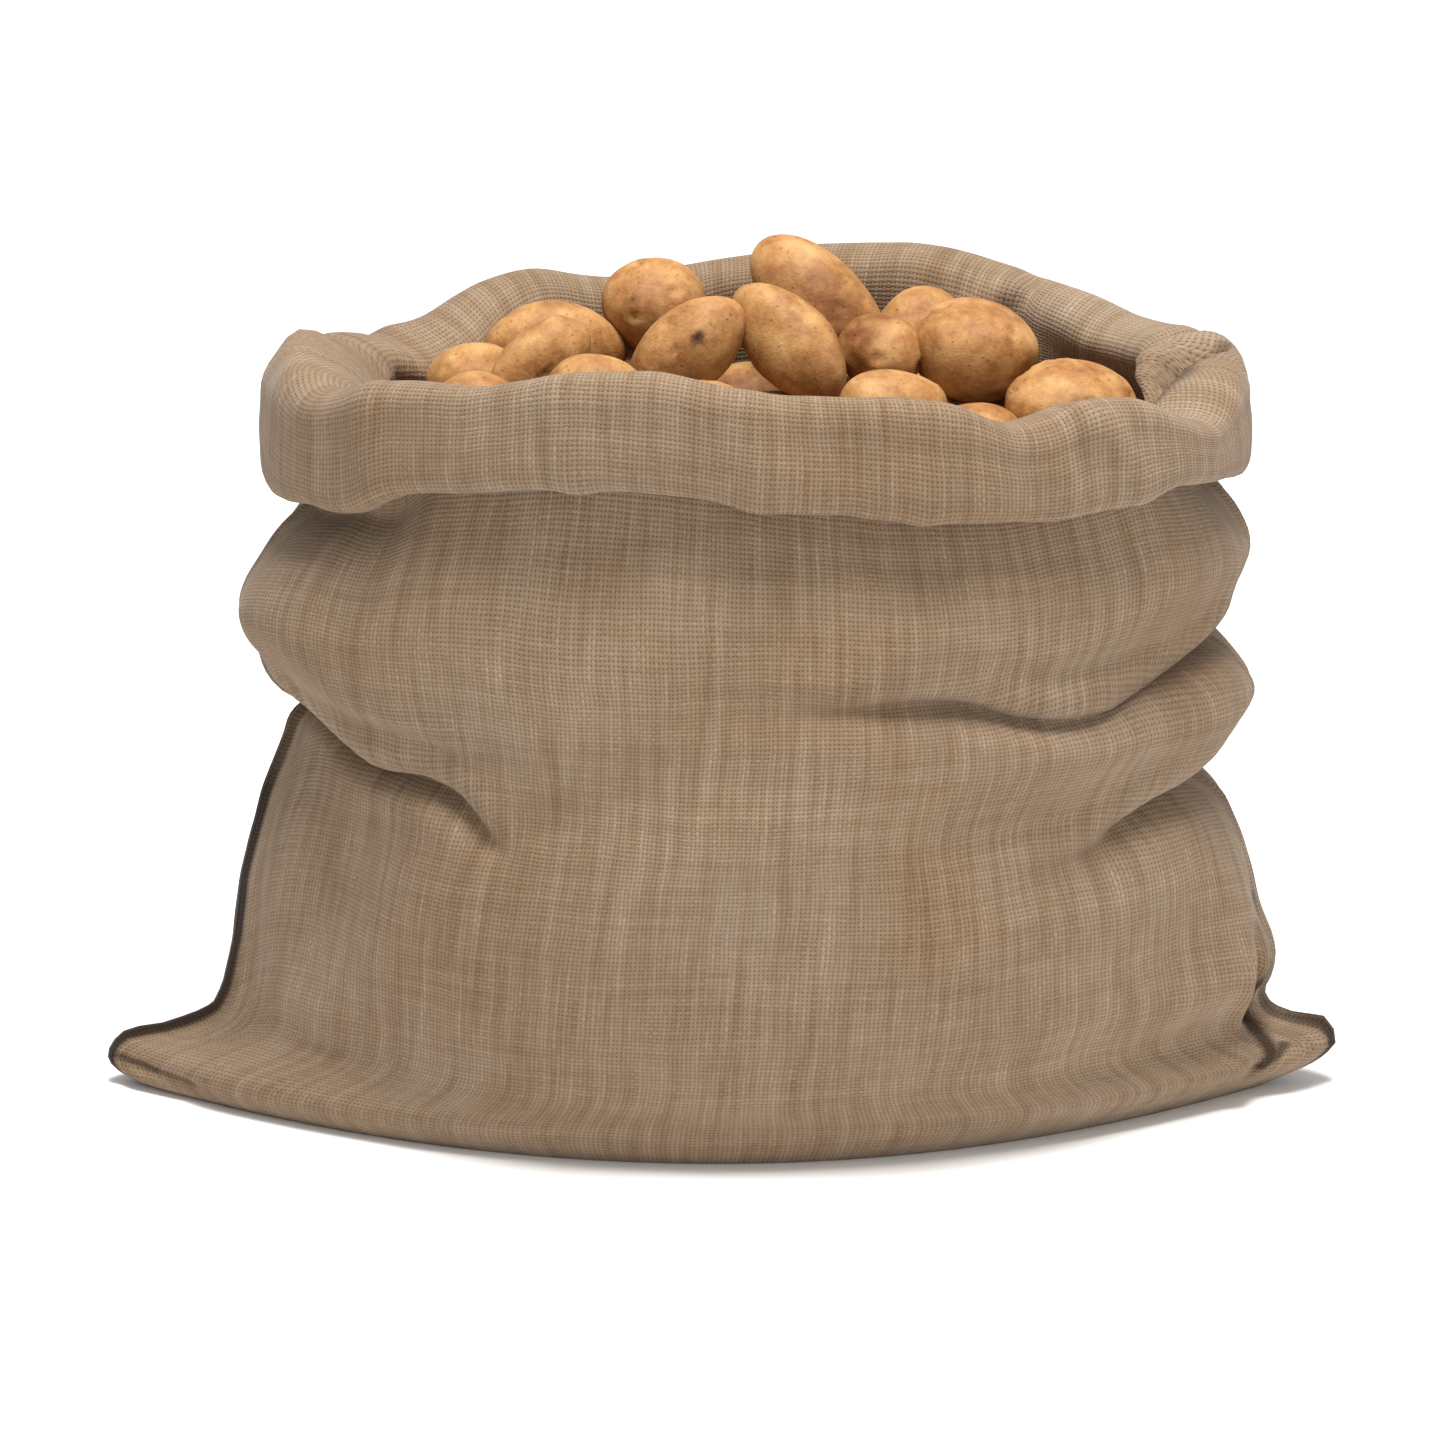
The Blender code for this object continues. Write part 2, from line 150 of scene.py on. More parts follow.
# Creases where the cloth is pinched in: half-width, then a line of points round it.
CREASE_COLUMNS = ("around", "height", "depth")
CREASES = {
    "upper_right": (7.5, (
        (272, 236, 0), (282, 238, 4), (292, 240, 10), (300, 237, 14), (306, 229, 15),
        (312, 224, 14), (320, 223, 14), (328, 227, 17), (345, 236, 18), (360, 243, 12),
        (390, 240, 8), (420, 236, 0))),
    "lower_right": (9.0, (
        (300, 140, 0), (310, 146, 4), (318, 150, 7), (326, 160, 11), (338, 170, 14),
        (360, 170, 11), (385, 172, 0))),
    "upper_left": (7.5, (
        (140, 206, 0), (160, 203, 8), (180, 204, 12), (190, 206, 16), (204, 196, 17),
        (214, 191, 15), (225, 191, 14), (231, 186, 13), (236, 174, 11), (239, 167, 5),
        (244, 164, 0))),
    "second_left": (10.0, (
        (206, 226, 0), (218, 219, 4), (230, 213, 5), (242, 208, 0))),
    "under_left": (10.0, (
        (165, 312, 0), (185, 317, 12), (205, 320, 18), (217, 323, 13), (232, 328, 0))),
    "under_right": (10.0, (
        (325, 318, 0), (345, 322, 8), (365, 324, 9), (385, 320, 0))),
    "back": (12.0, (
        (50, 226, 0), (70, 214, 7), (95, 222, 9), (120, 208, 6), (138, 202, 0))),
}


def column(table, names, name):
    """One named column of a table, as an array."""
    return np.array([row[names.index(name)] for row in table], dtype=float)


def smooth(at, places, values):
    """A smooth curve through a table's points: cubic pieces whose slope at each point
    is that of the parabola through it and its two neighbours."""
    at = np.clip(at, places[0], places[-1])
    slopes = np.gradient(values, places)
    cell = np.clip(np.searchsorted(places, at, side="right") - 1, 0, len(places) - 2)
    step = places[cell + 1] - places[cell]
    t = (at - places[cell]) / step
    return ((1 + 2 * t) * (1 - t) ** 2 * values[cell]
            + t * (1 - t) ** 2 * step * slopes[cell]
            + t * t * (3 - 2 * t) * values[cell + 1]
            + t * t * (t - 1) * step * slopes[cell + 1])


def smooth_around(around, name):
    """A column of the rim's table, once round the sack."""
    places, values = column(RIM, RIM_COLUMNS, "around"), column(RIM, RIM_COLUMNS, name)
    places = np.concatenate((places[-3:] - 360, places, places[:3] + 360))
    values = np.concatenate((values[-3:], values, values[:3]))
    return smooth(around % 360, places, values)


def shares():
    """Where the points of half a ring stand, from -1 at one side seam to 1 at the other:
    closer at both ends, x + CROWD * sin(pi * x) / pi."""
    even = np.linspace(-1, 1, HALF + 1)
    return even + CROWD * np.sin(math.pi * even) / math.pi


def ring(height, out=0.0):
    """One level ring of COLUMNS points: half of them along the back, from the right tip
    to the left one, and half along the front. Their shares s move a little to one side,
    s + middle * (1 - s^2), which puts the middle thread at DRIFT.

    The ring is two arches, y = rise * (1 - |x / reach| ^ fullness), widened all round by
    a disc whose radius rounds the two sides. `out` moves the whole ring outwards.
    Returns the points, their outward directions and where they are around the sack.
    """
    heights = column(SECTIONS, SECTION_COLUMNS, "height")
    left, right, front, back, left_round, right_round, full = (
        float(smooth(np.array([height], dtype=float), heights,
                     column(SECTIONS, SECTION_COLUMNS, name))[0])
        for name in SECTION_COLUMNS[1:])
    drift = DRIFT * np.clip(height / DRIFT_HEIGHT, 0, 1)
    places, normals = [], []
    for depth, facing in ((back, 1.0), (front, -1.0)):
        share = np.sin(np.linspace(1, -1, ARCH_POINTS) * math.pi / 2)
        radius = np.where(share >= 0, right_round, left_round)
        reach = np.where(share >= 0, right, left) - radius
        rise = depth - radius
        slope = full * rise * np.sign(share) * np.abs(share) ** (full - 1) / reach
        normal = np.stack((slope, np.ones_like(share)), axis=1)
        normal /= np.linalg.norm(normal, axis=1)[:, None]
        place = np.stack((reach * share, rise * (1 - np.abs(share) ** full)), axis=1)
        tips, tip_ways = [], []
        for tip_round, tip_reach, side in ((right_round, right, 1.0), (left_round, left, -1.0)):
            tilt = math.atan2(1.0, full * (depth - tip_round) / (tip_reach - tip_round))
            turn = np.linspace(0, tilt, TIP_POINTS)
            tip_ways.append(np.stack((side * np.cos(turn), np.sin(turn)), axis=1))
            centre = np.array((side * (tip_reach - tip_round), 0.0))
            tips.append(centre + (tip_round + out) * tip_ways[-1])
        line = np.concatenate((tips[0], place + (radius + out)[:, None] * normal,
                               tips[1][::-1]))
        ways = np.concatenate((tip_ways[0], normal, tip_ways[1][::-1]))
        length = np.concatenate(([0], np.cumsum(np.linalg.norm(np.diff(line, axis=0), axis=1))))
        middle = np.interp(-drift, -line[:, 0], length) / length[-1] * 2 - 1
        even = shares()
        even = (even + middle * (1 - even ** 2) + 1) / 2 * length[-1]
        half = np.stack([np.interp(even, length, line[:, k]) for k in (0, 1)], axis=1)
        way = np.stack([np.interp(even, length, ways[:, k]) for k in (0, 1)], axis=1)
        flip = np.array((1.0, facing))
        half, way = half * flip, way * flip
        if facing < 0:
            half, way = half[::-1], way[::-1]
        places.append(half[:-1])
        normals.append(way[:-1])
    places, normals = np.concatenate(places), np.concatenate(normals)
    reach = np.where(places[:, 0] >= 0, right, left)
    depth = np.where(places[:, 1] >= 0, back, front)
    around = np.degrees(np.arctan2(places[:, 1] / depth, places[:, 0] / reach)) % 360
    return places, normals, around


def creases(around, height):
    """How far the creases pull the cloth in and down, as two arrays.

    Across each crease, in half-widths t above its line: in by depth * exp(-t^2), out
    again over it by 0.3 * depth * exp(-((t - 1.7) / 0.9)^2), and the cloth above sags
    down by 0.55 * depth * exp(-((t - 0.9) / 0.7)^2).
    """
    pulled, sagged = np.zeros_like(around), np.zeros_like(around)
    for half_width, line in CREASES.values():
        places = column(line, CREASE_COLUMNS, "around")
        for turn in (0, 360):
            level = smooth(around + turn, places, column(line, CREASE_COLUMNS, "height"))
            deep = np.interp(around + turn, places, column(line, CREASE_COLUMNS, "depth"),
                             left=0.0, right=0.0)
            t = (height - level) / half_width
            pulled += deep * (np.exp(-t ** 2) - 0.3 * np.exp(-((t - 1.7) / 0.9) ** 2))
            sagged += 0.55 * deep * np.exp(-((t - 0.9) / 0.7) ** 2)
    return pulled, sagged


def lumps(around, height):
    """The filling presses low lumps into the cloth: three sines that wind round the
    sack, 1.5 mm at 7 to the turn, 1.2 mm at 11 and 1 mm at 5. They grow over the lowest
    90 mm and fade over the last 60 mm below the neck."""
    turn = np.radians(around)
    held = np.clip(height / 90, 0, 1) * np.clip((NECK_HEIGHT - height) / 60, 0, 1)
    return held * (1.5 * np.sin(7 * turn + height / 31)
                   + 1.2 * np.sin(11 * turn - height / 23 + 1.3)
                   + 1.0 * np.sin(5 * turn - height / 17 + 0.4))


WAVES = 12


def crumple(u, v, size, seed):
    """Even crumpling of about a given size, mostly from -1 to 1: the mean of plane waves
    in random directions, sin(2 pi * (u cos + v sin) / length + phase), times 2.2."""
    draw = np.random.default_rng(seed)
    total = np.zeros_like(u)
    for turn, phase, stretch in zip(draw.uniform(0, math.pi, WAVES),
                                    draw.uniform(0, 2 * math.pi, WAVES),
                                    draw.uniform(0.7, 1.5, WAVES)):
        total += np.sin(2 * math.pi * (u * math.cos(turn) + v * math.sin(turn))
                        / (size * stretch) + phase)
    return total / WAVES * 2.2


# The cloth's rows ---------------------------------------------------------------------
BASE_SHARES = (0.0, 0.35, 0.65, 0.88)    # the base's rows, out from the bottom seam
BASE_ROWS = len(BASE_SHARES)
# The wall's rows, closest together where the creases are.
WALL_LEVELS = np.concatenate((np.arange(0, 40, 3.0), np.arange(42, 148, 5.3),
                              np.arange(148, 258, 2.7), np.linspace(258, NECK_HEIGHT, 17)))
FOLLOW_FROM = 215.0          # above this height the wall rises and falls with the rim
COLLAR_EDGE = 10             # the line of COLLAR that is its lower edge
COLLAR_HEIGHT = 62.0         # about how high it is, to space its rows evenly
COLLAR_ROWS = 50             # all its rows
SHOWING_ROWS = 37            # and those above its lower edge, which show


def cloth_rows():
    """Every row of the cloth, as an array of rows by COLUMNS by 3.

    The base spreads from the bottom seam. The wall's rows are level but for the creases
    and for the rim, which they follow near the neck: each point rises by the collar's
    lower edge there less its mean, times ((level - FOLLOW_FROM) / (NECK_HEIGHT -
    FOLLOW_FROM)) ^ 1.5. Then come the collar's rows, at top - down * (top - edge), `out`
    from the neck and leaning in. They are close where it shows, wider apart in the roll.
    """
    places, normals, around = ring(0.0)
    rows = [np.column_stack((places * (1, share), np.zeros(COLUMNS))) for share in BASE_SHARES]
    for level in WALL_LEVELS:
        places, normals, around = ring(level)
        heights = np.full(COLUMNS, float(level))
        pulled, sagged = creases(around, heights)
        moved = lumps(around, heights) - pulled
        edge = smooth_around(around, "edge")
        follow = np.clip((level - FOLLOW_FROM) / (NECK_HEIGHT - FOLLOW_FROM), 0, 1) ** 1.5
        z = level + follow * (edge - edge.mean()) - sagged
        rows.append(np.column_stack((places + moved[:, None] * normals, z)))
    table = [column(COLLAR, COLLAR_COLUMNS, name) for name in COLLAR_COLUMNS]
    steps = np.hypot(np.diff(table[0]), np.diff(table[1]) * COLLAR_HEIGHT)
    along = np.concatenate(([0], np.cumsum(steps)))
    showing, whole = along[COLLAR_EDGE], along[-1]
    at = np.concatenate((np.linspace(0, showing, SHOWING_ROWS + 1)[:-1],
                         np.linspace(showing, whole, COLLAR_ROWS - SHOWING_ROWS)))
    for out, down, leans in zip(*(smooth(at, along, values) for values in table)):
        places, normals, around = ring(NECK_HEIGHT, float(out))
        top, edge, lean = (smooth_around(around, name) for name in RIM_COLUMNS[1:])
        places = places - (leans * lean)[:, None] * normals
        rows.append(np.column_stack((places, top - down * (top - edge))))
    return np.array(rows)


def grid_normals(rows):
    """Outward directions of a grid that closes round its columns: the cross product of
    the steps along and across it."""
    along = np.roll(rows, -1, axis=1) - np.roll(rows, 1, axis=1)
    up = np.gradient(rows, axis=0)
    normal = np.cross(along, up)
    return normal / np.maximum(np.linalg.norm(normal, axis=2), 1e-6)[:, :, None]


# Finer folds: half-width, then a line of points, each its u and v and how far the fold
# stands out there or, if negative, in.
FOLDS = {
    "dent_beside_left_crease": (13.0, ((186, 262, -3.5), (204, 270, -5.0), (226, 274, 0))),
    "lip_over_left_crease": (12.0, ((70, 322, 2), (110, 312, 4), (150, 300, 4), (185, 285, 0))),
    "below_left_crease": (9.0, ((95, 262, 2), (130, 256, 3), (160, 240, 0))),
    "lip_over_right_crease": (11.0, ((345, 362, 0), (392, 370, 4), (450, 356, 4), (520, 372, 0))),
    "side_bulge_right": (16.0, ((470, 300, 0), (525, 312, 5), (575, 318, 5))),
    "cuff_slant_right": (6.0, ((462, 506, -2), (476, 526, -4), (490, 552, -2), (498, 570, 0))),
    "cuff_slant_right_lit": (7.0, ((448, 512, 1), (462, 535, 2.5), (474, 560, 0))),
    "cuff_dent_middle": (12.0, ((300, 510, -2.5), (306, 545, -3.5), (300, 580, -2))),
    "cuff_dent_right": (9.0, ((392, 512, -2.5), (386, 545, -3), (380, 580, -2))),
    "cuff_crown_right": (14.0, ((425, 515, 2), (432, 545, 2.5), (425, 575, 1))),
    "cuff_crown_middle": (12.0, ((345, 515, 1.5), (348, 545, 2.5), (345, 575, 1.5))),
    "cuff_dent_near_left": (9.0, ((205, 515, -2), (212, 540, -3), (222, 575, -2))),
    "cuff_dent_left": (10.0, ((108, 512, -3.5), (112, 540, -3.5), (120, 575, -1))),
    "cuff_crown_left": (22.0, ((60, 535, 2), (95, 540, 2.5), (180, 545, 0))),
    "cuff_dent_back": (12.0, ((950, 505, -3), (956, 545, -3), (950, 580, -1))),
    "cuff_dent_back_left": (11.0, ((810, 508, -3), (816, 540, -3), (828, 575, 0))),
    "back_slack": (18.0, ((900, 300, 0), (980, 330, 4), (1060, 310, 0))),
    "back_drag_low": (15.0, ((820, 180, 0), (890, 150, 4), (970, 135, 0))),
    "back_drag_right": (14.0, ((1230, 190, 0), (1160, 165, 4), (1080, 150, 0))),
    "front_drag_left": (13.0, ((25, 150, 0), (70, 138, 3), (130, 118, 0))),
    "front_drag_right": (13.0, ((575, 158, 0), (530, 142, 3), (470, 120, 0))),
}

# Where the cloth, with all its layers, is pushed: a radius, then a line of points, each
# its x, y and z and how far it moves along x, y and z.
PUSHES = {
    "left_end_lobe": (13.0, ((-203, -34, 374, 0, 0, 6), (-204, 0, 374, 0, 0, 9),
                             (-202, 22, 372, 0, 0, 8))),
    "left_end_band": (10.0, ((-168, -26, 366, 3, 0, -10), (-166, 0, 366, 3, 0, -15),
                             (-165, 24, 366, 3, 0, -14))),
    "left_end_slot": (6.0, ((-151, 34, 362, -7, 4, -9), (-150, 38, 348, -8, 5, 0))),
    "back_left_hollow": (11.0, ((-94, 98, 374, 0, 9, -2),)),
    "front_left_cleft": (5.0, ((-176, -38, 374, 0, 2, -6), (-174, -48, 366, 0, 4, -2))),
    "right_end_flap": (7.0, ((202, -16, 358, -5, 0, 4), (207, 2, 366, -8, 0, 6),
                             (217, 16, 371, -4, 0, 5), (232, 24, 375, 0, 0, 2))),
    "right_end_slot": (5.0, ((206, -24, 360, 1, 0, -9), (216, -5, 370, 4, 0, -16),
                             (226, 6, 374, 4, 0, -17), (238, 14, 374, 2, 0, -10))),
    "right_end_valley": (6.5, ((200, 16, 362, 0, 2, -8), (207, 29, 367, 0, 2, -13),
                               (218, 38, 371, 0, 2, -14), (232, 46, 373, 0, 0, -9))),
    "back_wall_notch": (6.0, ((153, 96, 387, 3, 3, -6), (148, 90, 376, 3, 6, 0),
                              (146, 88, 362, 2, 5, 0))),
    "back_wall_band": (6.5, ((144, 92, 386, 0, -6, 4), (131, 94, 374, 0, -8, 2),
                             (120, 94, 366, 0, -5, 0))),
    "back_wall_panel": (12.0, ((172, 80, 380, 0, -6, 3), (176, 70, 364, 0, -6, 0))),
    "rear_rim_dip": (16.0, ((20, 110, 392, 0, 0, -4),)),
    "left_ear_tip": (12.0, ((-290, 2, 18, 0, 0, 5),)),
    "left_ear_fold": (4.0, ((-294, -8, 14, 0, 4, 0), (-277, -20, 12, 0, 6, 0),
                            (-261, -30, 11, 0, 5, 0), (-248, -42, 8, 0, 0, 0))),
    "left_ear_roll": (5.0, ((-290, -9, 5, 0, -3, 1), (-270, -26, 5, 0, -3, 1))),
    "left_seam_valley": (6.0, ((-226, -16, 150, 3, 3, 0), (-232, -18, 90, 4, 4, 0),
                               (-236, -18, 58, 4, 4, 0), (-254, -14, 34, 2, 3, -3))),
    "right_ear_tuck": (5.0, ((263, -23, 86, -3, 4, 0), (264, -26, 66, -5, 9, 0),
                             (263, -20, 47, -6, 13, 0), (262, -17, 30, -5, 13, 0),
                             (262, -27, 18, -2, 6, 0))),
    "right_body_edge": (6.0, ((256, -34, 70, 2, -3, 0), (254, -31, 44, 5, -5, 0),
                              (252, -34, 26, 4, -4, 0))),
    "right_ear_fold": (4.0, ((270, -20, 20, 0, 6, 0), (283, -15, 25, 0, 6, -1),
                             (290, -10, 30, 0, 3, -1))),
    "right_ear_leaf": (5.0, ((272, -18, 12, 0, -2, 1), (282, -15, 18, 0, -3, 2),
                             (290, -9, 25, 0, -3, 2))),
    "right_ear_tip": (8.0, ((294, 2, 28, 2, 0, 5),)),
}


def along_line(points, line):
    """Distances from points to a line, and the line's own values at its nearest point. A
    row of the line is a place, with as many coordinates as a point, and then its values.
    The nearest point of a step is start + t * step, with t = (point - start) . step /
    |step|^2 held between 0 and 1."""
    line = np.array(line, dtype=float)
    size = points.shape[-1]
    line = np.concatenate((line, line)) if len(line) == 1 else line
    nearest = np.full(points.shape[:-1], 1e9)
    values = np.zeros(points.shape[:-1] + (line.shape[1] - size,))
    for start, end in zip(line[:-1], line[1:]):
        step = end[:size] - start[:size]
        t = np.clip((points - start[:size]) @ step / max(step @ step, 1e-9), 0, 1)[..., None]
        away = np.linalg.norm(points - start[:size] - t * step, axis=-1)
        closer = away < nearest
        nearest = np.where(closer, away, nearest)
        values = np.where(closer[..., None], start[size:] + t * (end - start)[size:], values)
    return nearest, values


def fold_height(u, v):
    """The finer folds' heights at each point: across a fold's line at distance d, its
    height times exp(-(d / half_width)^2)."""
    total = np.zeros_like(u)
    for half_width, line in FOLDS.values():
        away, height = along_line(np.stack((u, v), axis=-1), line)
        total += height[..., 0] * np.exp(-(away / half_width) ** 2)
    return total


def pushed(rows):
    """The rows after every push: each moves a point at distance d from its line by the
    line's own way times exp(-(d / radius)^2)."""
    for radius, line in PUSHES.values():
        away, way = along_line(rows, line)
        rows = rows + way * np.exp(-(away / radius) ** 2)[..., None]
    return rows


EAR_HEIGHT = 60.0            # the drawn-out corners: their height,
EAR_COLUMNS = 8              # how many columns they take on each side of a side seam
EAR_REACH = 60.0             # and how far along the cloth their own lengths are kept


def columns_away():
    """How many columns each one is from the right side seam, and from the left one."""
    index = np.arange(COLUMNS)
    return np.minimum(index, COLUMNS - index), np.abs(index - HALF)


def smoothed(rows):
    """The wall and the showing collar smoothed twice, along and across: each point
    becomes a half of itself and a quarter of each of its two neighbours. The base, the
    hidden roll and the two drawn-out corners stay."""
    off = np.minimum(*columns_away())
    share = np.where((off < EAR_COLUMNS) & (rows[:, :, 2] < EAR_HEIGHT), 0.0, 1.0)
    hidden = COLLAR_ROWS - SHOWING_ROWS - 1
    share[:BASE_ROWS + 2] = share[-hidden:] = 0
    for _ in range(2):
        for axis in (0, 1):
            mean = (np.roll(rows, 1, axis) + np.roll(rows, -1, axis)) / 4 + rows / 2
            rows = rows + share[..., None] * (mean - rows)
    return rows


# The side seams' ridges, right and left: how much higher each is low down, and where it
# has come down to its usual height.
RIDGES = ((2.5, 120), (3.5, 230))
RIDGE_HEIGHT = 1.5
RIDGE_COLUMNS = 1.5          # half-width, in columns


def seam_ridge(rows):
    """How far the two side seams stand out, exp(-(columns away / RIDGE_COLUMNS)^2) of
    their height. It grows downwards over 40 mm, for the corners are drawn out there."""
    total = np.zeros(rows.shape[:2])
    for off, (more, top) in zip(columns_away(), RIDGES):
        height = RIDGE_HEIGHT + more * np.clip((top - rows[:, :, 2]) / 40, 0, 1)
        total += np.exp(-(off / RIDGE_COLUMNS) ** 2) * height
    return total


def cloth_coordinates(rows):
    """u from the left side seam of each panel, the back panel's beyond the front's, and
    v from the bottom seam: the mean length of the columns up to each row. Near a
    drawn-out corner each column keeps exp(-(distance / EAR_REACH)^2) of its own length.
    """
    across = SACK_WIDTH * (1 + shares()[:-1]) / 2
    u = np.concatenate((BACK_PANEL + SACK_WIDTH - across, across))
    lengths = np.linalg.norm(np.diff(rows, axis=0), axis=2)
    level = lengths.mean(axis=1)[:, None]
    from_seam = np.minimum(*columns_away()) * SACK_WIDTH / HALF
    own = np.exp(-(from_seam / EAR_REACH) ** 2) * (rows[1:, :, 2] < EAR_HEIGHT)
    own[:BASE_ROWS] = 0
    v = np.cumsum(np.concatenate((np.zeros((1, COLUMNS)), level + own * (lengths - level))),
                  axis=0)
    return np.broadcast_to(u, rows.shape[:2]).copy(), v


CRUMPLES = ((1.3, 130, 2), (0.6, 60, 3), (0.2, 26, 5))     # height, size and seed
FREE_ROWS = 10               # rows over which the cloth comes free of the floor


def shaped_cloth():
    """The cloth's rows with their folds, ridges and crumpling, and the cloth coordinates.
    The finer forms stand out along the normals, fade out towards the floor and end at
    the collar's lower edge."""
    rows = smoothed(cloth_rows())
    u, v = cloth_coordinates(rows)
    finer = fold_height(u, v) + seam_ridge(rows)
    for height, size, seed in CRUMPLES:
        finer = finer + height * crumple(u, v, size, seed)
    number = np.arange(len(rows))[:, None]
    last_showing = BASE_ROWS + len(WALL_LEVELS) + SHOWING_ROWS - 1
    free = np.where(number > last_showing, 0.0, np.clip((number - BASE_ROWS) / FREE_ROWS, 0, 1))
    rows = rows + (free * finer)[:, :, None] * grid_normals(rows)
    return pushed(rows), u, v


# Materials ----------------------------------------------------------------------------
MATH, VECTOR_MATH, MIX = "ShaderNodeMath", "ShaderNodeVectorMath", "ShaderNodeMix"
NOISE, RAMP, FADE = "ShaderNodeTexNoise", "ShaderNodeValToRGB", "ShaderNodeMapRange"
STRETCH, PARTS = "ShaderNodeMapping", "ShaderNodeSeparateXYZ"
MULTIPLIED = {"data_type": "RGBA", "blend_type": "MULTIPLY"}     # colours in at 6 and 7


def colour(code):
    """A colour written as sRGB hex, made linear: ((c + 0.055) / 1.055) ^ 2.4 for each
    part above 0.04045, and c / 12.92 below it."""
    parts = [int(code[k:k + 2], 16) / 255 for k in (1, 3, 5)]
    return tuple(((c + 0.055) / 1.055) ** 2.4 if c > 0.04045 else c / 12.92
                 for c in parts) + (1.0,)


def new_material(name):
    """An empty material with its node tree and Principled shader."""
    made = bpy.data.materials.new(name)
    made.use_nodes = True
    tree = made.node_tree
    return made, tree, tree.nodes["Principled BSDF"]


def add(tree, kind, inputs=None, stops=(), **settings):
    """Add a node and set its properties, a colour ramp's (place, colour) stops, and its
    inputs by name or number. An input that is a socket, or a node with its first socket
    in use, is linked instead."""
    node = tree.nodes.new(kind)
    for name, value in settings.items():
        setattr(node, name, value)
    for name, value in (inputs or {}).items():
        if isinstance(value, bpy.types.Node):
            value = next(socket for socket in value.outputs if socket.enabled)
        if isinstance(value, bpy.types.NodeSocket):
            tree.links.new(value, node.inputs[name])
        else:
            node.inputs[name].default_value = value
    if stops:
        elements = node.color_ramp.elements
        while len(elements) < len(stops):
            elements.new(0.5)
        for element, (place, code) in zip(elements, stops):
            element.position = place
            element.color = colour(code)
    return node


# Deep folds darkened with painted shade, for the shadow down in each fold: a line in
# cloth coordinates, its half-width and how dark.
PAINTED_TUCK_SHADES = (
    (595, 200, 586, 150, 3.5, 0.7), (586, 150, 578, 115, 4.5, 0.85),
    (578, 115, 562, 88, 5.0, 0.85), (562, 88, 577, 101, 4.0, 0.7),
    (563, 484, 587, 504, 7.0, 0.6), (587, 504, 599, 516, 6.0, 0.7),
    (1300, 514, 1282, 514, 6.0, 0.55),
    (5, 80, 28, 77, 2.6, 0.6), (28, 77, 48, 75, 2.6, 0.4),
)


def tuck_painted_shade(tree, place, line):
    """How much painted shade a tuck lays on each place: fully within a third of its
    half-width, fading to nothing at its edge. The nearest point of its line is start + share
    * step, whose share is (place - start) . step / |step|^2, held between 0 and 1."""
    u0, v0, u1, v1, half_width, dark = line
    start, step = (u0 * MM, v0 * MM, 0), ((u1 - u0) * MM, (v1 - v0) * MM, 0)
    squared = step[0] ** 2 + step[1] ** 2
    off = add(tree, VECTOR_MATH, {0: place, 1: start}, operation="SUBTRACT")
    share = add(tree, VECTOR_MATH, {0: off, 1: tuple(part / squared for part in step)},
                operation="DOT_PRODUCT")
    share = add(tree, MATH, {0: share, 1: 0.0}, operation="MAXIMUM")
    share = add(tree, MATH, {0: share, 1: 1.0}, operation="MINIMUM")
    nearest = add(tree, VECTOR_MATH, {0: step, "Scale": share}, operation="SCALE")
    away = add(tree, VECTOR_MATH, {0: off, 1: nearest}, operation="DISTANCE")
    return add(tree, FADE, {0: away, 1: half_width / 3 * MM, 2: half_width * MM,
                            3: dark, 4: 0.0})


def yarns(tree, across, along, turn, slubby):
    """One set of yarns, its height and its tone. A yarn's height is round * (0.68 + 0.32 *
    wave) * (0.65 + 0.7 * tone). Round is 1 - side^2, with side from -1 to 1 across it,
    and wave, which takes it over and under, is sin(pi * (along + its number + turn)).
    Its tone is 0.5 + slubby * (noise - 0.5), from noise of its own that changes slowly
    along it, by 0.045 of a spot to each thread."""
    number = add(tree, MATH, {0: across}, operation="FLOOR")
    side = add(tree, MATH, {0: across}, operation="FRACT")
    side = add(tree, MATH, {0: side, 1: 2.0}, operation="MULTIPLY")
    side = add(tree, MATH, {0: side, 1: 1.0}, operation="SUBTRACT")
    side = add(tree, MATH, {0: side, 1: side}, operation="MULTIPLY")
    round_top = add(tree, MATH, {0: 1.0, 1: side}, operation="SUBTRACT")
    wave = add(tree, MATH, {0: along, 1: number}, operation="ADD")
    wave = add(tree, MATH, {0: wave, 1: turn}, operation="ADD")
    wave = add(tree, MATH, {0: wave, 1: math.pi}, operation="MULTIPLY")
    wave = add(tree, MATH, {0: wave}, operation="SINE")
    own = add(tree, MATH, {0: number, 1: 0.73}, operation="MULTIPLY")
    slow = add(tree, MATH, {0: along, 1: 0.045}, operation="MULTIPLY")
    spot = add(tree, "ShaderNodeCombineXYZ", {0: own, 1: slow, 2: turn * 9.0})
    slub = add(tree, NOISE, {"Vector": spot, "Scale": 1.0, "Detail": 3.0, "Roughness": 0.7})
    slub = add(tree, MATH, {0: slub, 1: slubby, 2: 0.5 * (1 - slubby)},
               operation="MULTIPLY_ADD")
    bent = add(tree, MATH, {0: wave, 1: 0.32}, operation="MULTIPLY")
    bent = add(tree, MATH, {0: bent, 1: 0.68}, operation="ADD")
    thick = add(tree, MATH, {0: slub, 1: 0.7}, operation="MULTIPLY")
    thick = add(tree, MATH, {0: thick, 1: 0.65}, operation="ADD")
    up = add(tree, MATH, {0: round_top, 1: bent}, operation="MULTIPLY")
    return add(tree, MATH, {0: up, 1: thick}, operation="MULTIPLY"), slub


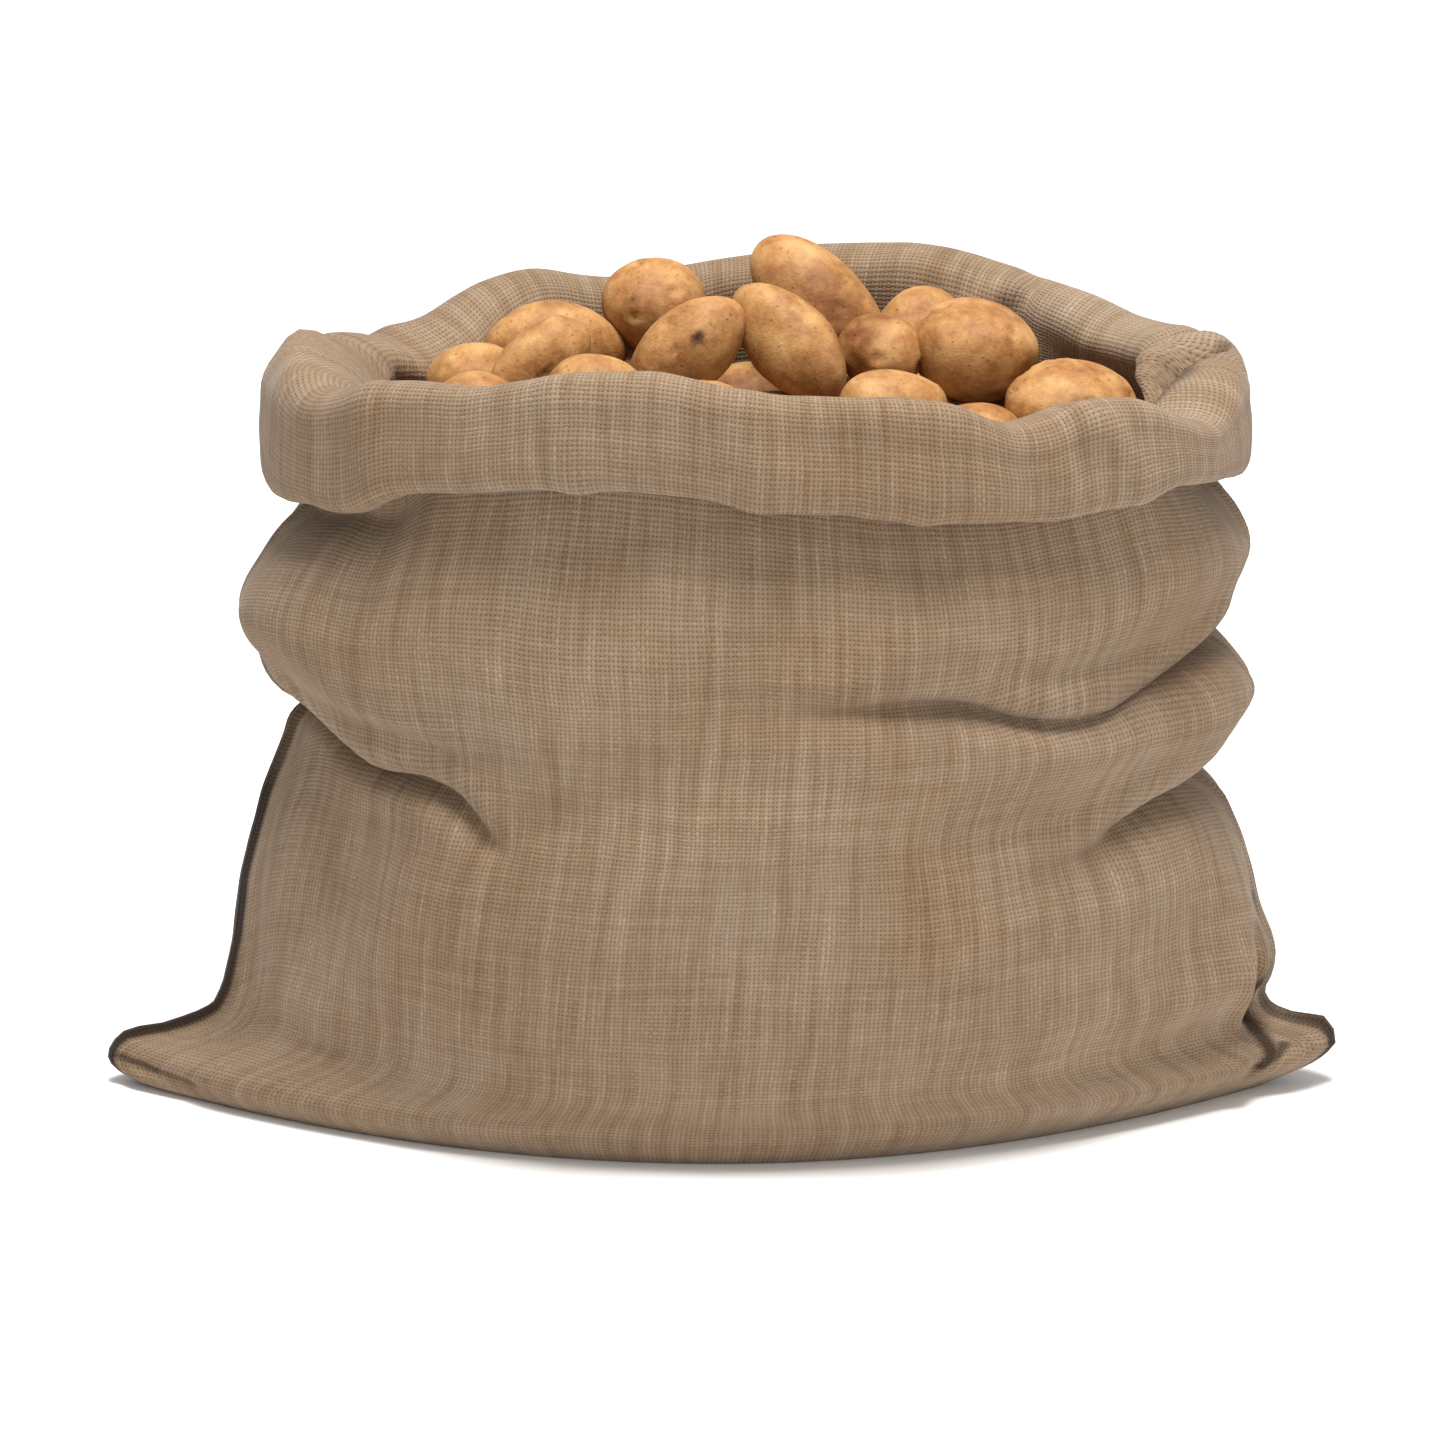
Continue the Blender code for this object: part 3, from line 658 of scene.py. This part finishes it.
def seam_painted_shade(tree, u, v):
    """Painted shade along the side seams and the bottom one, standing in for the shadow in
    the groove beside each seam: 0.95 within 3.5 mm, fading to nothing at 6.5 mm. Up the
    side seams it falls to 0.15 of that, from v = 260 to 360 on the left and from 100 to 180
    on the right."""
    # the side seams are at u = 0, 600, 700 and 1300: even about 650, and there about 350
    seam = u
    for middle in (650, 350, 300):
        seam = add(tree, MATH, {0: seam, 1: middle * MM}, operation="SUBTRACT")
        seam = add(tree, MATH, {0: seam}, operation="ABSOLUTE")
    bottom = add(tree, MATH, {0: v, 1: 2 * MM}, operation="ADD")
    seam = add(tree, MATH, {0: seam, 1: bottom}, operation="MINIMUM")
    on_left = add(tree, MATH, {0: u, 1: 50 * MM}, operation="ADD")
    on_left = add(tree, MATH, {0: on_left, 1: BACK_PANEL * MM}, operation="FLOORED_MODULO")
    on_left = add(tree, MATH, {0: on_left, 1: BACK_PANEL / 2 * MM}, operation="LESS_THAN")
    left_low, right_low = (
        add(tree, FADE, {0: v, 1: full * MM, 2: gone * MM, 3: 1.0, 4: 0.15})
        for full, gone in ((260, 360), (100, 180)))
    low = add(tree, MIX, {0: on_left, 2: right_low, 3: left_low})
    shade = add(tree, FADE, {0: seam, 1: 3.5 * MM, 2: 6.5 * MM, 3: 0.95, 4: 0.0})
    return add(tree, MATH, {0: shade, 1: low}, operation="MULTIPLY")


# How many spots of noise there are to a metre of cloth, from the size of what they draw.
WANDER_SPOTS = 11.0                   # threads swing to and fro over about 90 mm
CAST_SPOTS = 7.0                      # the colour changes over about 140 mm
STREAK_SPOTS = (170.0, 11.0, 1.0)     # a warp streak is about 6 mm wide, 90 mm long
BAR_SPOTS = (14.0, 150.0, 1.0)        # a weft bar is about 70 mm long, 7 mm wide
# Loose fibres are drawn 0.7 by 0.4 mm, coarser than real ones, so that they show.
FUZZ_SPOTS = (1500.0, 2600.0, 1.0)
WANDER = 8.0                          # how far the threads swing, from side to side
RELIEF = 0.7                          # how high a relief of 1 stands


def hessian_material():
    """Jute hessian: a plain weave of single spun yarns, about 4.5 to the centimetre each
    way, unbleached. The yarns are slubby, the warp more than the weft, so each is
    lighter and darker along itself, and dark gaps show between them. Dry rough fibre
    has hardly any gloss, and its fuzz gives a faint sheen."""
    made, tree, shader = new_material("hessian")
    place = add(tree, "ShaderNodeUVMap", uv_map="cloth")
    swing = add(tree, NOISE, {"Vector": place, "Scale": WANDER_SPOTS, "Detail": 3.0})
    wander = add(tree, VECTOR_MATH, {0: swing.outputs["Color"], 1: (0.5, 0.5, 0.5)},
                 operation="SUBTRACT")
    wander = add(tree, VECTOR_MATH, {0: wander, "Scale": WANDER * MM}, operation="SCALE")
    moved = add(tree, VECTOR_MATH, {0: place, 1: wander}, operation="ADD")
    u, v = add(tree, PARTS, {0: moved}).outputs[:2]
    warp, weft = (add(tree, MATH, {0: part, 1: 1 / (THREAD_PITCH * MM)}, operation="MULTIPLY")
                  for part in (u, v))
    warp_up, warp_tone = yarns(tree, warp, weft, 0.0, 0.9)
    weft_up, weft_tone = yarns(tree, weft, warp, 1.0, 0.45)
    height = add(tree, MATH, {0: warp_up, 1: weft_up}, operation="MAXIMUM")
    on_top = add(tree, MATH, {0: warp_up, 1: weft_up}, operation="GREATER_THAN")
    tone = add(tree, MIX, {0: on_top, 2: weft_tone, 3: warp_tone})
    cloth = add(tree, RAMP, {0: tone}, ((0.28, "#82705d"), (0.45, "#8d7b67"),
                                        (0.58, "#968471"), (0.74, "#a4927e")))
    streaks, bars, fuzz = (
        add(tree, NOISE, {"Vector": add(tree, STRETCH, {0: place, "Scale": spots}),
                          "Scale": 1.0, "Detail": 2.0})
        for spots in (STREAK_SPOTS, BAR_SPOTS, FUZZ_SPOTS))
    cast = add(tree, NOISE, {"Vector": place, "Scale": CAST_SPOTS, "Detail": 3.0})
    for share, value, stops in (
            (1.0, streaks, ((0.34, "#ebe4db"), (0.5, "#f7f3ee"), (0.66, "#ffffff"))),
            (0.45, bars, ((0.34, "#ece5dd"), (0.6, "#ffffff"))),
            (1.0, cast, ((0.35, "#f2ebe2"), (0.65, "#ffffff"))),
            (1.0, height, ((0.1, "#968775"), (0.34, "#dbd3ca"), (0.7, "#ffffff")))):
        shade = add(tree, RAMP, {0: value}, stops)
        cloth = add(tree, MIX, {0: share, 6: cloth, 7: shade}, **MULTIPLIED)
    # painted shade along the seams: a dark brown laid over the cloth where the seams' grooves lie
    # in shadow
    cloth = add(tree, MIX, {0: seam_painted_shade(tree, u, v), 6: cloth, 7: colour("#3d2a1a")},
                **MULTIPLIED)
    # the tucks' painted shade, a dark brown laid over the cloth in the deep folds
    tuck_shadow = 0.0
    for line in PAINTED_TUCK_SHADES:
        tuck_shadow = add(tree, MATH, {0: tuck_painted_shade(tree, moved, line), 1: tuck_shadow},
                     operation="MAXIMUM")
    cloth = add(tree, MIX, {0: tuck_shadow, 6: cloth, 7: colour("#4a3422")}, **MULTIPLIED)
    rough = add(tree, MATH, {0: fuzz, 1: 0.25}, operation="MULTIPLY")
    relief = add(tree, MATH, {0: height, 1: rough}, operation="ADD")
    bump = add(tree, "ShaderNodeBump", {"Height": relief, "Distance": RELIEF * MM,
                                        "Strength": 0.65})
    tree.links.new(cloth.outputs[2], shader.inputs["Base Color"])
    tree.links.new(bump.outputs[0], shader.inputs["Normal"])
    shader.inputs["Roughness"].default_value = 0.95
    shader.inputs["Specular IOR Level"].default_value = 0.15
    shader.inputs["Sheen Weight"].default_value = 0.12
    shader.inputs["Sheen Roughness"].default_value = 0.5
    return made


# Healed scars and russet patches on the skins: a place, a radius and how dark.
SCARS = (
    (-10, -20, 392, 3.5, 1.0), (-4, -18, 398, 2.5, 0.9), (-80, -24, 388, 4.0, 0.45),
    (34, 24, 402, 3.0, 0.4), (62, 26, 396, 2.0, 0.5), (138, 0, 384, 3.0, 0.4),
    (176, -38, 366, 3.0, 0.5), (-42, 40, 392, 3.0, 0.35), (44, -34, 380, 2.5, 0.5),
)
# How many spots of noise there are to a metre of skin, from the size of what they draw.
PATCH_SPOTS = 55.0           # russet patches about 18 mm across
PORE_SPOTS = 190.0           # pores about 5 mm apart
THINNING_SPOTS = 90.0        # they come and go over about 11 mm
DUST_SPOTS = 24.0            # dust lies in patches of about 42 mm
GRAIN_SPOTS = 700.0          # grain of about 1.4 mm, coarser than real, so that it shows
SKIN_RELIEF = 0.9            # how high a relief of 1 stands
# Painted shade on the potatoes and the filling: darker the deeper they lie, for the shade down
# between them.
DARK_HEIGHT = 302.0          # below this the filling is dark,
LIGHT_HEIGHT = 350.0         # and above this it is in full light


def potato_skin_material():
    """Washed white potatoes: thin tan skin with darker russet patches, small brown
    pores, healed scars, and a little dust left in the hollows. It is smooth but dry, so
    its gloss is wide and low. Painted shade makes each potato darker the deeper it lies in
    the sack."""
    made, tree, shader = new_material("potato_skin")
    place = add(tree, "ShaderNodeTexCoord").outputs["Object"]
    patches = add(tree, NOISE, {"Vector": place, "Scale": PATCH_SPOTS, "Detail": 8.0,
                                "Roughness": 0.72})
    skin = add(tree, RAMP, {0: patches}, ((0.30, "#7b4a25"), (0.44, "#976839"),
                                          (0.54, "#a87b49"), (0.70, "#bb915d")))
    pores = add(tree, "ShaderNodeTexVoronoi", {"Vector": place, "Scale": PORE_SPOTS})
    pore = add(tree, RAMP, {0: pores}, ((0.06, "#7d4f28"), (0.2, "#ffffff")))
    share = add(tree, NOISE, {"Vector": place, "Scale": THINNING_SPOTS})
    share = add(tree, MATH, {0: share, 1: 0.9}, operation="MULTIPLY")
    skin = add(tree, MIX, {0: share, 6: skin, 7: pore}, **MULTIPLIED)
    dust = add(tree, NOISE, {"Vector": place, "Scale": DUST_SPOTS, "Detail": 6.0})
    dust = add(tree, RAMP, {0: dust}, ((0.3, "#a98763"), (0.48, "#ffffff")))
    skin = add(tree, MIX, {0: 0.8, 6: skin, 7: dust}, **MULTIPLIED)
    for x, y, z, radius, dark in SCARS:
        away = add(tree, VECTOR_MATH, {0: place, 1: (x * MM, y * MM, z * MM)},
                   operation="DISTANCE")
        ragged = add(tree, MATH, {0: patches, 1: 12 * MM}, operation="MULTIPLY")
        ragged = add(tree, MATH, {0: away, 1: ragged}, operation="ADD")
        share = add(tree, FADE, {0: ragged, 1: (radius + 4) * MM, 2: (radius + 8) * MM,
                                 3: dark, 4: 0.0})
        skin = add(tree, MIX, {0: share, 6: skin, 7: colour("#6b4526")}, **MULTIPLIED)
    height = add(tree, PARTS, {0: place}).outputs["Z"]
    # painted shade, from dark brown low in the sack to none at the top
    light = add(tree, FADE, {0: height, 1: DARK_HEIGHT * MM, 2: LIGHT_HEIGHT * MM,
                             3: 0.0, 4: 1.0})
    light = add(tree, RAMP, {0: light}, ((0.0, "#2c1b0e"), (0.5, "#8f7153"),
                                         (1.0, "#ffffff")))
    skin = add(tree, MIX, {0: 1.0, 6: skin, 7: light}, **MULTIPLIED)
    grain = add(tree, NOISE, {"Vector": place, "Scale": GRAIN_SPOTS, "Detail": 3.0})
    grain = add(tree, MATH, {0: grain, 1: 0.35}, operation="MULTIPLY")
    uneven = add(tree, MATH, {0: patches, 1: 1.2}, operation="MULTIPLY")
    pitted = add(tree, MATH, {0: pores, 1: 0.15}, operation="MINIMUM")
    pitted = add(tree, MATH, {0: pitted, 1: 2.5}, operation="MULTIPLY")
    relief = add(tree, MATH, {0: grain, 1: uneven}, operation="ADD")
    relief = add(tree, MATH, {0: relief, 1: pitted}, operation="ADD")
    bump = add(tree, "ShaderNodeBump", {"Height": relief, "Distance": SKIN_RELIEF * MM,
                                        "Strength": 0.7})
    tree.links.new(skin.outputs[2], shader.inputs["Base Color"])
    tree.links.new(bump.outputs[0], shader.inputs["Normal"])
    shader.inputs["Roughness"].default_value = 0.6
    shader.inputs["Specular IOR Level"].default_value = 0.3
    return made


# Pieces -------------------------------------------------------------------------------
def band_faces(index):
    """Quads between the rows of a grid of point numbers that closes round its columns."""
    after = np.roll(index, -1, axis=1)
    return np.stack((index[:-1], after[:-1], after[1:], index[1:]), axis=2).reshape(-1, 4)


def add_piece(name, points, faces, surface):
    """A smooth-shaded object from points in millimetres, with its material."""
    mesh = bpy.data.meshes.new(name)
    mesh.from_pydata((points * MM).tolist(), [], faces)
    mesh.shade_smooth()
    mesh.materials.append(surface)
    made = bpy.data.objects.new(name, mesh)
    bpy.context.scene.collection.objects.link(made)
    return made


def add_contents(name, points, faces, surface):
    """A piece of what the sack holds."""
    made = add_piece(name, points, faces, surface)
    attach(made, "root")
    return made


def make_sack(surface):
    """The cloth as one sheet, welded along the bottom seam and given its thickness."""
    rows, u, v = shaped_cloth()
    count = len(rows)
    index = np.arange(count * COLUMNS).reshape(count, COLUMNS)
    point = np.arange(COLUMNS)
    index[0] = np.where(point > HALF, COLUMNS - point, point)     # front onto the back
    faces = band_faces(index)
    used = np.unique(faces)
    number = np.zeros(count * COLUMNS, dtype=int)
    number[used] = np.arange(len(used))
    sack = add_piece("sack_cloth", rows.reshape(-1, 3)[used], number[faces].tolist(), surface)
    # each panel's last faces end at its own seam, not where the other panel begins
    u_here = u[0]
    u_next = np.where(point == HALF - 1, BACK_PANEL, np.roll(u_here, -1))
    u_next = np.where(point == COLUMNS - 1, SACK_WIDTH, u_next)
    v_next = np.roll(v, -1, axis=1)
    corners = np.empty((count - 1, COLUMNS, 4, 2))
    corners[:, :, 0, 0] = corners[:, :, 3, 0] = u_here
    corners[:, :, 1, 0] = corners[:, :, 2, 0] = u_next
    corners[:, :, 0, 1], corners[:, :, 3, 1] = v[:-1], v[1:]
    corners[:, :, 1, 1], corners[:, :, 2, 1] = v_next[:-1], v_next[1:]
    layer = sack.data.uv_layers.new(name="cloth")
    layer.data.foreach_set("uv", (corners * MM).ravel())
    wall = sack.modifiers.new("cloth", "SOLIDIFY")
    wall.thickness = CLOTH * MM
    wall.offset = -1.0
    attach(sack, "root")
    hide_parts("sack")
    return sack


# The potatoes on top: each one's middle x, y and z, its length, width and depth, its
# turn about the vertical and how far its right-hand end is tipped down.
POTATOES = (
    (-117, -36, 359, 46, 38, 38, 35, 0), (-119, 12, 360, 46, 38, 38, 20, -8),
    (-58, -48, 372, 50, 40, 38, -12, 4), (-7, -62, 363, 50, 40, 36, 10, 0),
    (58, -72, 354, 42, 32, 32, -8, 0), (82, -51, 366, 50, 38, 36, 12, 6),
    (122, -40, 348, 44, 40, 36, -15, 0), (168, -19, 356, 64, 46, 44, 6, 4),
    (-80, 44, 367, 66, 42, 42, 8, 4), (-86, -4, 374, 58, 36, 35, 12, -42),
    (-32, 58, 381, 52, 48, 46, 0, 0), (-16, -2, 380, 63, 37, 38, 6, -42),
    (78, 16, 373, 42, 38, 38, 30, 0), (98, 64, 370, 46, 40, 40, 30, 0),
    (33, 2, 381, 74, 38, 38, -28, 40), (123, 17, 372, 66, 50, 48, -6, 8),
    (47, 48, 389, 74, 47, 46, -22, 36),
)
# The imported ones: each one's middle, its length and width, and its turn.
BED_POTATOES = (
    (-152, -22, 320, 60, 54, 10), (-142, 27, 319, 60, 50, -30), (-104, -58, 327, 67, 54, 25),
    (-88, 2, 337, 67, 58, -10), (-100, 60, 323, 65, 52, 20), (-44, -58, 323, 67, 56, -20),
    (-24, 6, 338, 67, 58, 15), (-38, 60, 340, 63, 56, -12), (20, -62, 321, 69, 54, 8),
    (30, -4, 333, 65, 56, -28), (18, 62, 329, 67, 56, 20), (80, -58, 321, 65, 56, -15),
    (84, 4, 333, 69, 58, 22), (92, 62, 337, 63, 52, -8), (142, -38, 321, 67, 56, 18),
    (136, 26, 324, 67, 56, -24), (192, 0, 323, 61, 52, 80), (176, 44, 316, 54, 44, -40),
    (134, 62, 317, 56, 42, -14), (176, -46, 316, 54, 42, 40), (112, -66, 316, 50, 42, 10),
    (-164, 6, 317, 52, 44, 85), (56, 74, 318, 50, 40, -8), (-14, -76, 317, 52, 42, -6),
    (-68, -72, 316, 54, 42, -8), (-10, 76, 318, 52, 42, 4), (-64, 74, 317, 54, 42, 10),
    (44, -76, 316, 54, 42, 4), (-8, -30, 326, 54, 46, 19), (-132, -46, 317, 50, 44, -30),
    (192, 26, 315, 52, 42, -70), (-126, 52, 317, 50, 42, 35), (-52, -22, 325, 52, 44, 50),
    (50, -36, 324, 52, 46, -42),
)
BED_DEPTH = 48.0
TOP_GRID, BED_GRID = (56, 36), (40, 26)      # points round a potato, and up over it


def potato_points(length, width, depth, number, around, up):
    """A potato's points: a ball drawn out to three sizes, with uneven cheeks, a slight
    bend, low knobs, and a few dimpled eyes. At distance d from an eye's middle the skin
    sinks by 1.9 mm * exp(-(d / 3.2)^2) and rises by 0.6 mm * exp(-((d - 4.8) / 2)^2)."""
    turn = np.linspace(0, 2 * math.pi, around, endpoint=False)
    rise = np.linspace(-math.pi / 2, math.pi / 2, up)[1:-1]
    turn, rise = np.meshgrid(turn, rise)
    unit = np.stack((np.cos(rise) * np.cos(turn), np.cos(rise) * np.sin(turn),
                     np.sin(rise)), axis=2).reshape(-1, 3)
    unit = np.concatenate((unit, [(0, 0, -1), (0, 0, 1)]))
    along, across, high = unit.T
    cheeks = (1 + 0.05 * np.sin(2.1 * along + 1.7 * number)
              + 0.04 * np.sin(3.3 * across + 2.3 * number)
              + 0.04 * np.sin(2.7 * high + 1.1 * number))
    bend = 0.06 * (along * along - 0.4) * math.cos(2.9 * number)
    points = np.stack((along * length * cheeks, (across * cheeks + bend) * width,
                       high * depth * cheeks), axis=1) / 2
    draw = np.random.default_rng(100 + number)
    for _ in range(7):
        way = draw.normal(size=3)
        way /= np.linalg.norm(way)
        away = np.linalg.norm((unit - way) * length / 2, axis=1)
        points -= unit * (1.9 * np.exp(-(away / 3.2) ** 2))[:, None]
        points += unit * (0.6 * np.exp(-((away - 4.8) / 2.0) ** 2))[:, None]
    knobs = sum(np.sin(unit @ draw.normal(size=3) * 2.6 + draw.uniform(0, 6)) for _ in range(5))
    return points * (1 + 0.014 * knobs)[:, None]


def ball_faces(around, up):
    """Faces of a ball of points: quads between its rows, and triangles at its two poles."""
    points = (up - 2) * around
    index = np.arange(points).reshape(-1, around)
    low, high = np.full(around, points), np.full(around, points + 1)
    after = np.roll(index, -1, axis=1)
    ends = np.concatenate((np.stack((after[0], index[0], low), axis=1),
                           np.stack((index[-1], after[-1], high), axis=1)))
    return band_faces(index).tolist() + ends.tolist()


def turned(points, lean, turn):
    """Points tipped by lean about Y and then turned about Z, in degrees."""
    matrix = np.array(Euler((0, math.radians(lean), math.radians(turn))).to_matrix())
    return points @ matrix.T


def make_potatoes(surface):
    """The potatoes on top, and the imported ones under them."""
    faces = ball_faces(*TOP_GRID)
    for number, (x, y, z, length, width, depth, turn, lean) in enumerate(POTATOES, start=1):
        points = turned(potato_points(length, width, depth, number, *TOP_GRID), lean, turn)
        points += (x, y, z) - (points.min(axis=0) + points.max(axis=0)) / 2
        potato = add_contents(f"potato_top_{number:02d}", points, faces, surface)
        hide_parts(f"potato_{number:02d}")
    faces = ball_faces(*BED_GRID)
    for number, (x, y, z, length, width, turn) in enumerate(BED_POTATOES):
        points = turned(potato_points(length, width, BED_DEPTH, number, *BED_GRID), 0, turn)
        add_contents(f"potato_packed_{number + 1:02d}", points + (x, y, z), faces, surface)


# The mass below those: the heights of its rows, how far it stays inside the wall, and
# the shares of its last row that draw its top.
FILLING_LEVELS = (4, 16, 35, 60, 104, 140, 155, 170, 185, 200, 215, 230, 245, 260, 280, 312)
FILLING_GAP = 13.0
FILLING_TOP = (0.75, 0.5, 0.25, 0.02)


def make_filling(surface):
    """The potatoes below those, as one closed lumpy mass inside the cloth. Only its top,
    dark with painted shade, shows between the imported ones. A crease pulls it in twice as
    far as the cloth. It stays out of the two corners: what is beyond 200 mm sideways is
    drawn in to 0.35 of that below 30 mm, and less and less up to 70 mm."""
    rows = []
    for level in FILLING_LEVELS:
        places, normals, around = ring(level, -FILLING_GAP)
        heights = np.full(COLUMNS, float(level))
        pulled, _ = creases(around, heights)
        past = np.clip(np.abs(places[:, 0]) - 200, 0, None)
        kept = 0.35 + 0.65 * min(max((level - 30) / 40, 0), 1)
        places = places - (2.0 * np.maximum(pulled, 0))[:, None] * normals
        places[:, 0] -= np.sign(places[:, 0]) * past * (1 - kept)
        rows.append(np.column_stack((places, heights)))
    rim = rows[-1]
    for share in FILLING_TOP:
        places = rim[:, :2] * share
        lumpy = rim[:, 2] + 5 * crumple(places[:, 0], places[:, 1], 60, 9)
        rows.append(np.column_stack((places, lumpy)))
    rows = np.array(rows)[:, ::4]
    index = np.arange(rows[..., 0].size).reshape(rows.shape[:2])
    faces = band_faces(index).tolist() + [index[0, ::-1].tolist(), index[-1].tolist()]
    filling = add_contents("potato_filling", rows.reshape(-1, 3), faces, surface)
    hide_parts("potato_bed")


hessian = hessian_material()
skin = potato_skin_material()
sack = make_sack(hessian)
make_filling(skin)
make_potatoes(skin)


# Studio, in metres --------------------------------------------------------------------
MIDDLE = Vector((0.0, 0.0, 0.19))            # what the lights and the camera point at
FLOOR = 8.0                                  # half the floor's side
LIGHTS = (("key", (0.12, -0.5, 3.2), 1.2, 162), ("fill", (1.8, -2.5, 1.2), 2.0, 22))
WORLD_STRENGTH = 0.55
ELEVATION = math.radians(20)
DISTANCE = 4.2
LENS = 216                                   # in millimetres


def stand(name, data, place):
    """A light or camera at its place, pointing at the middle of the sack."""
    made = bpy.data.objects.new(name, data)
    made.location = place
    made.rotation_euler = (MIDDLE - Vector(place)).to_track_quat("-Z", "Y").to_euler()
    bpy.context.scene.collection.objects.link(made)
    return made


floor_mesh = bpy.data.meshes.new("floor")
floor_mesh.from_pydata([(-FLOOR, -FLOOR, 0), (FLOOR, -FLOOR, 0), (FLOOR, FLOOR, 0),
                        (-FLOOR, FLOOR, 0)], [], [(0, 1, 2, 3)])
floor_surface, _, floor_shader = new_material("floor_paper")
floor_shader.inputs["Base Color"].default_value = colour("#f4f3f1")
floor_shader.inputs["Roughness"].default_value = 0.9
floor_mesh.materials.append(floor_surface)
floor = bpy.data.objects.new("floor", floor_mesh)
bpy.context.scene.collection.objects.link(floor)

world = bpy.data.worlds.new("studio")
world.use_nodes = True
backdrop = world.node_tree.nodes["Background"]
backdrop.inputs["Color"].default_value = (1.0, 1.0, 1.0, 1.0)
backdrop.inputs["Strength"].default_value = WORLD_STRENGTH
bpy.context.scene.world = world
bpy.context.scene.view_settings.view_transform = "Standard"

for light_name, light_place, size, watts in LIGHTS:
    light = bpy.data.lights.new(light_name, "AREA")
    light.size = size
    light.energy = watts
    stand(light_name, light, light_place)

camera_data = bpy.data.cameras.new("camera")
camera_data.lens = LENS
back_off = Vector((0, -math.cos(ELEVATION), math.sin(ELEVATION))) * DISTANCE
bpy.context.scene.camera = stand("camera", camera_data, MIDDLE + back_off)
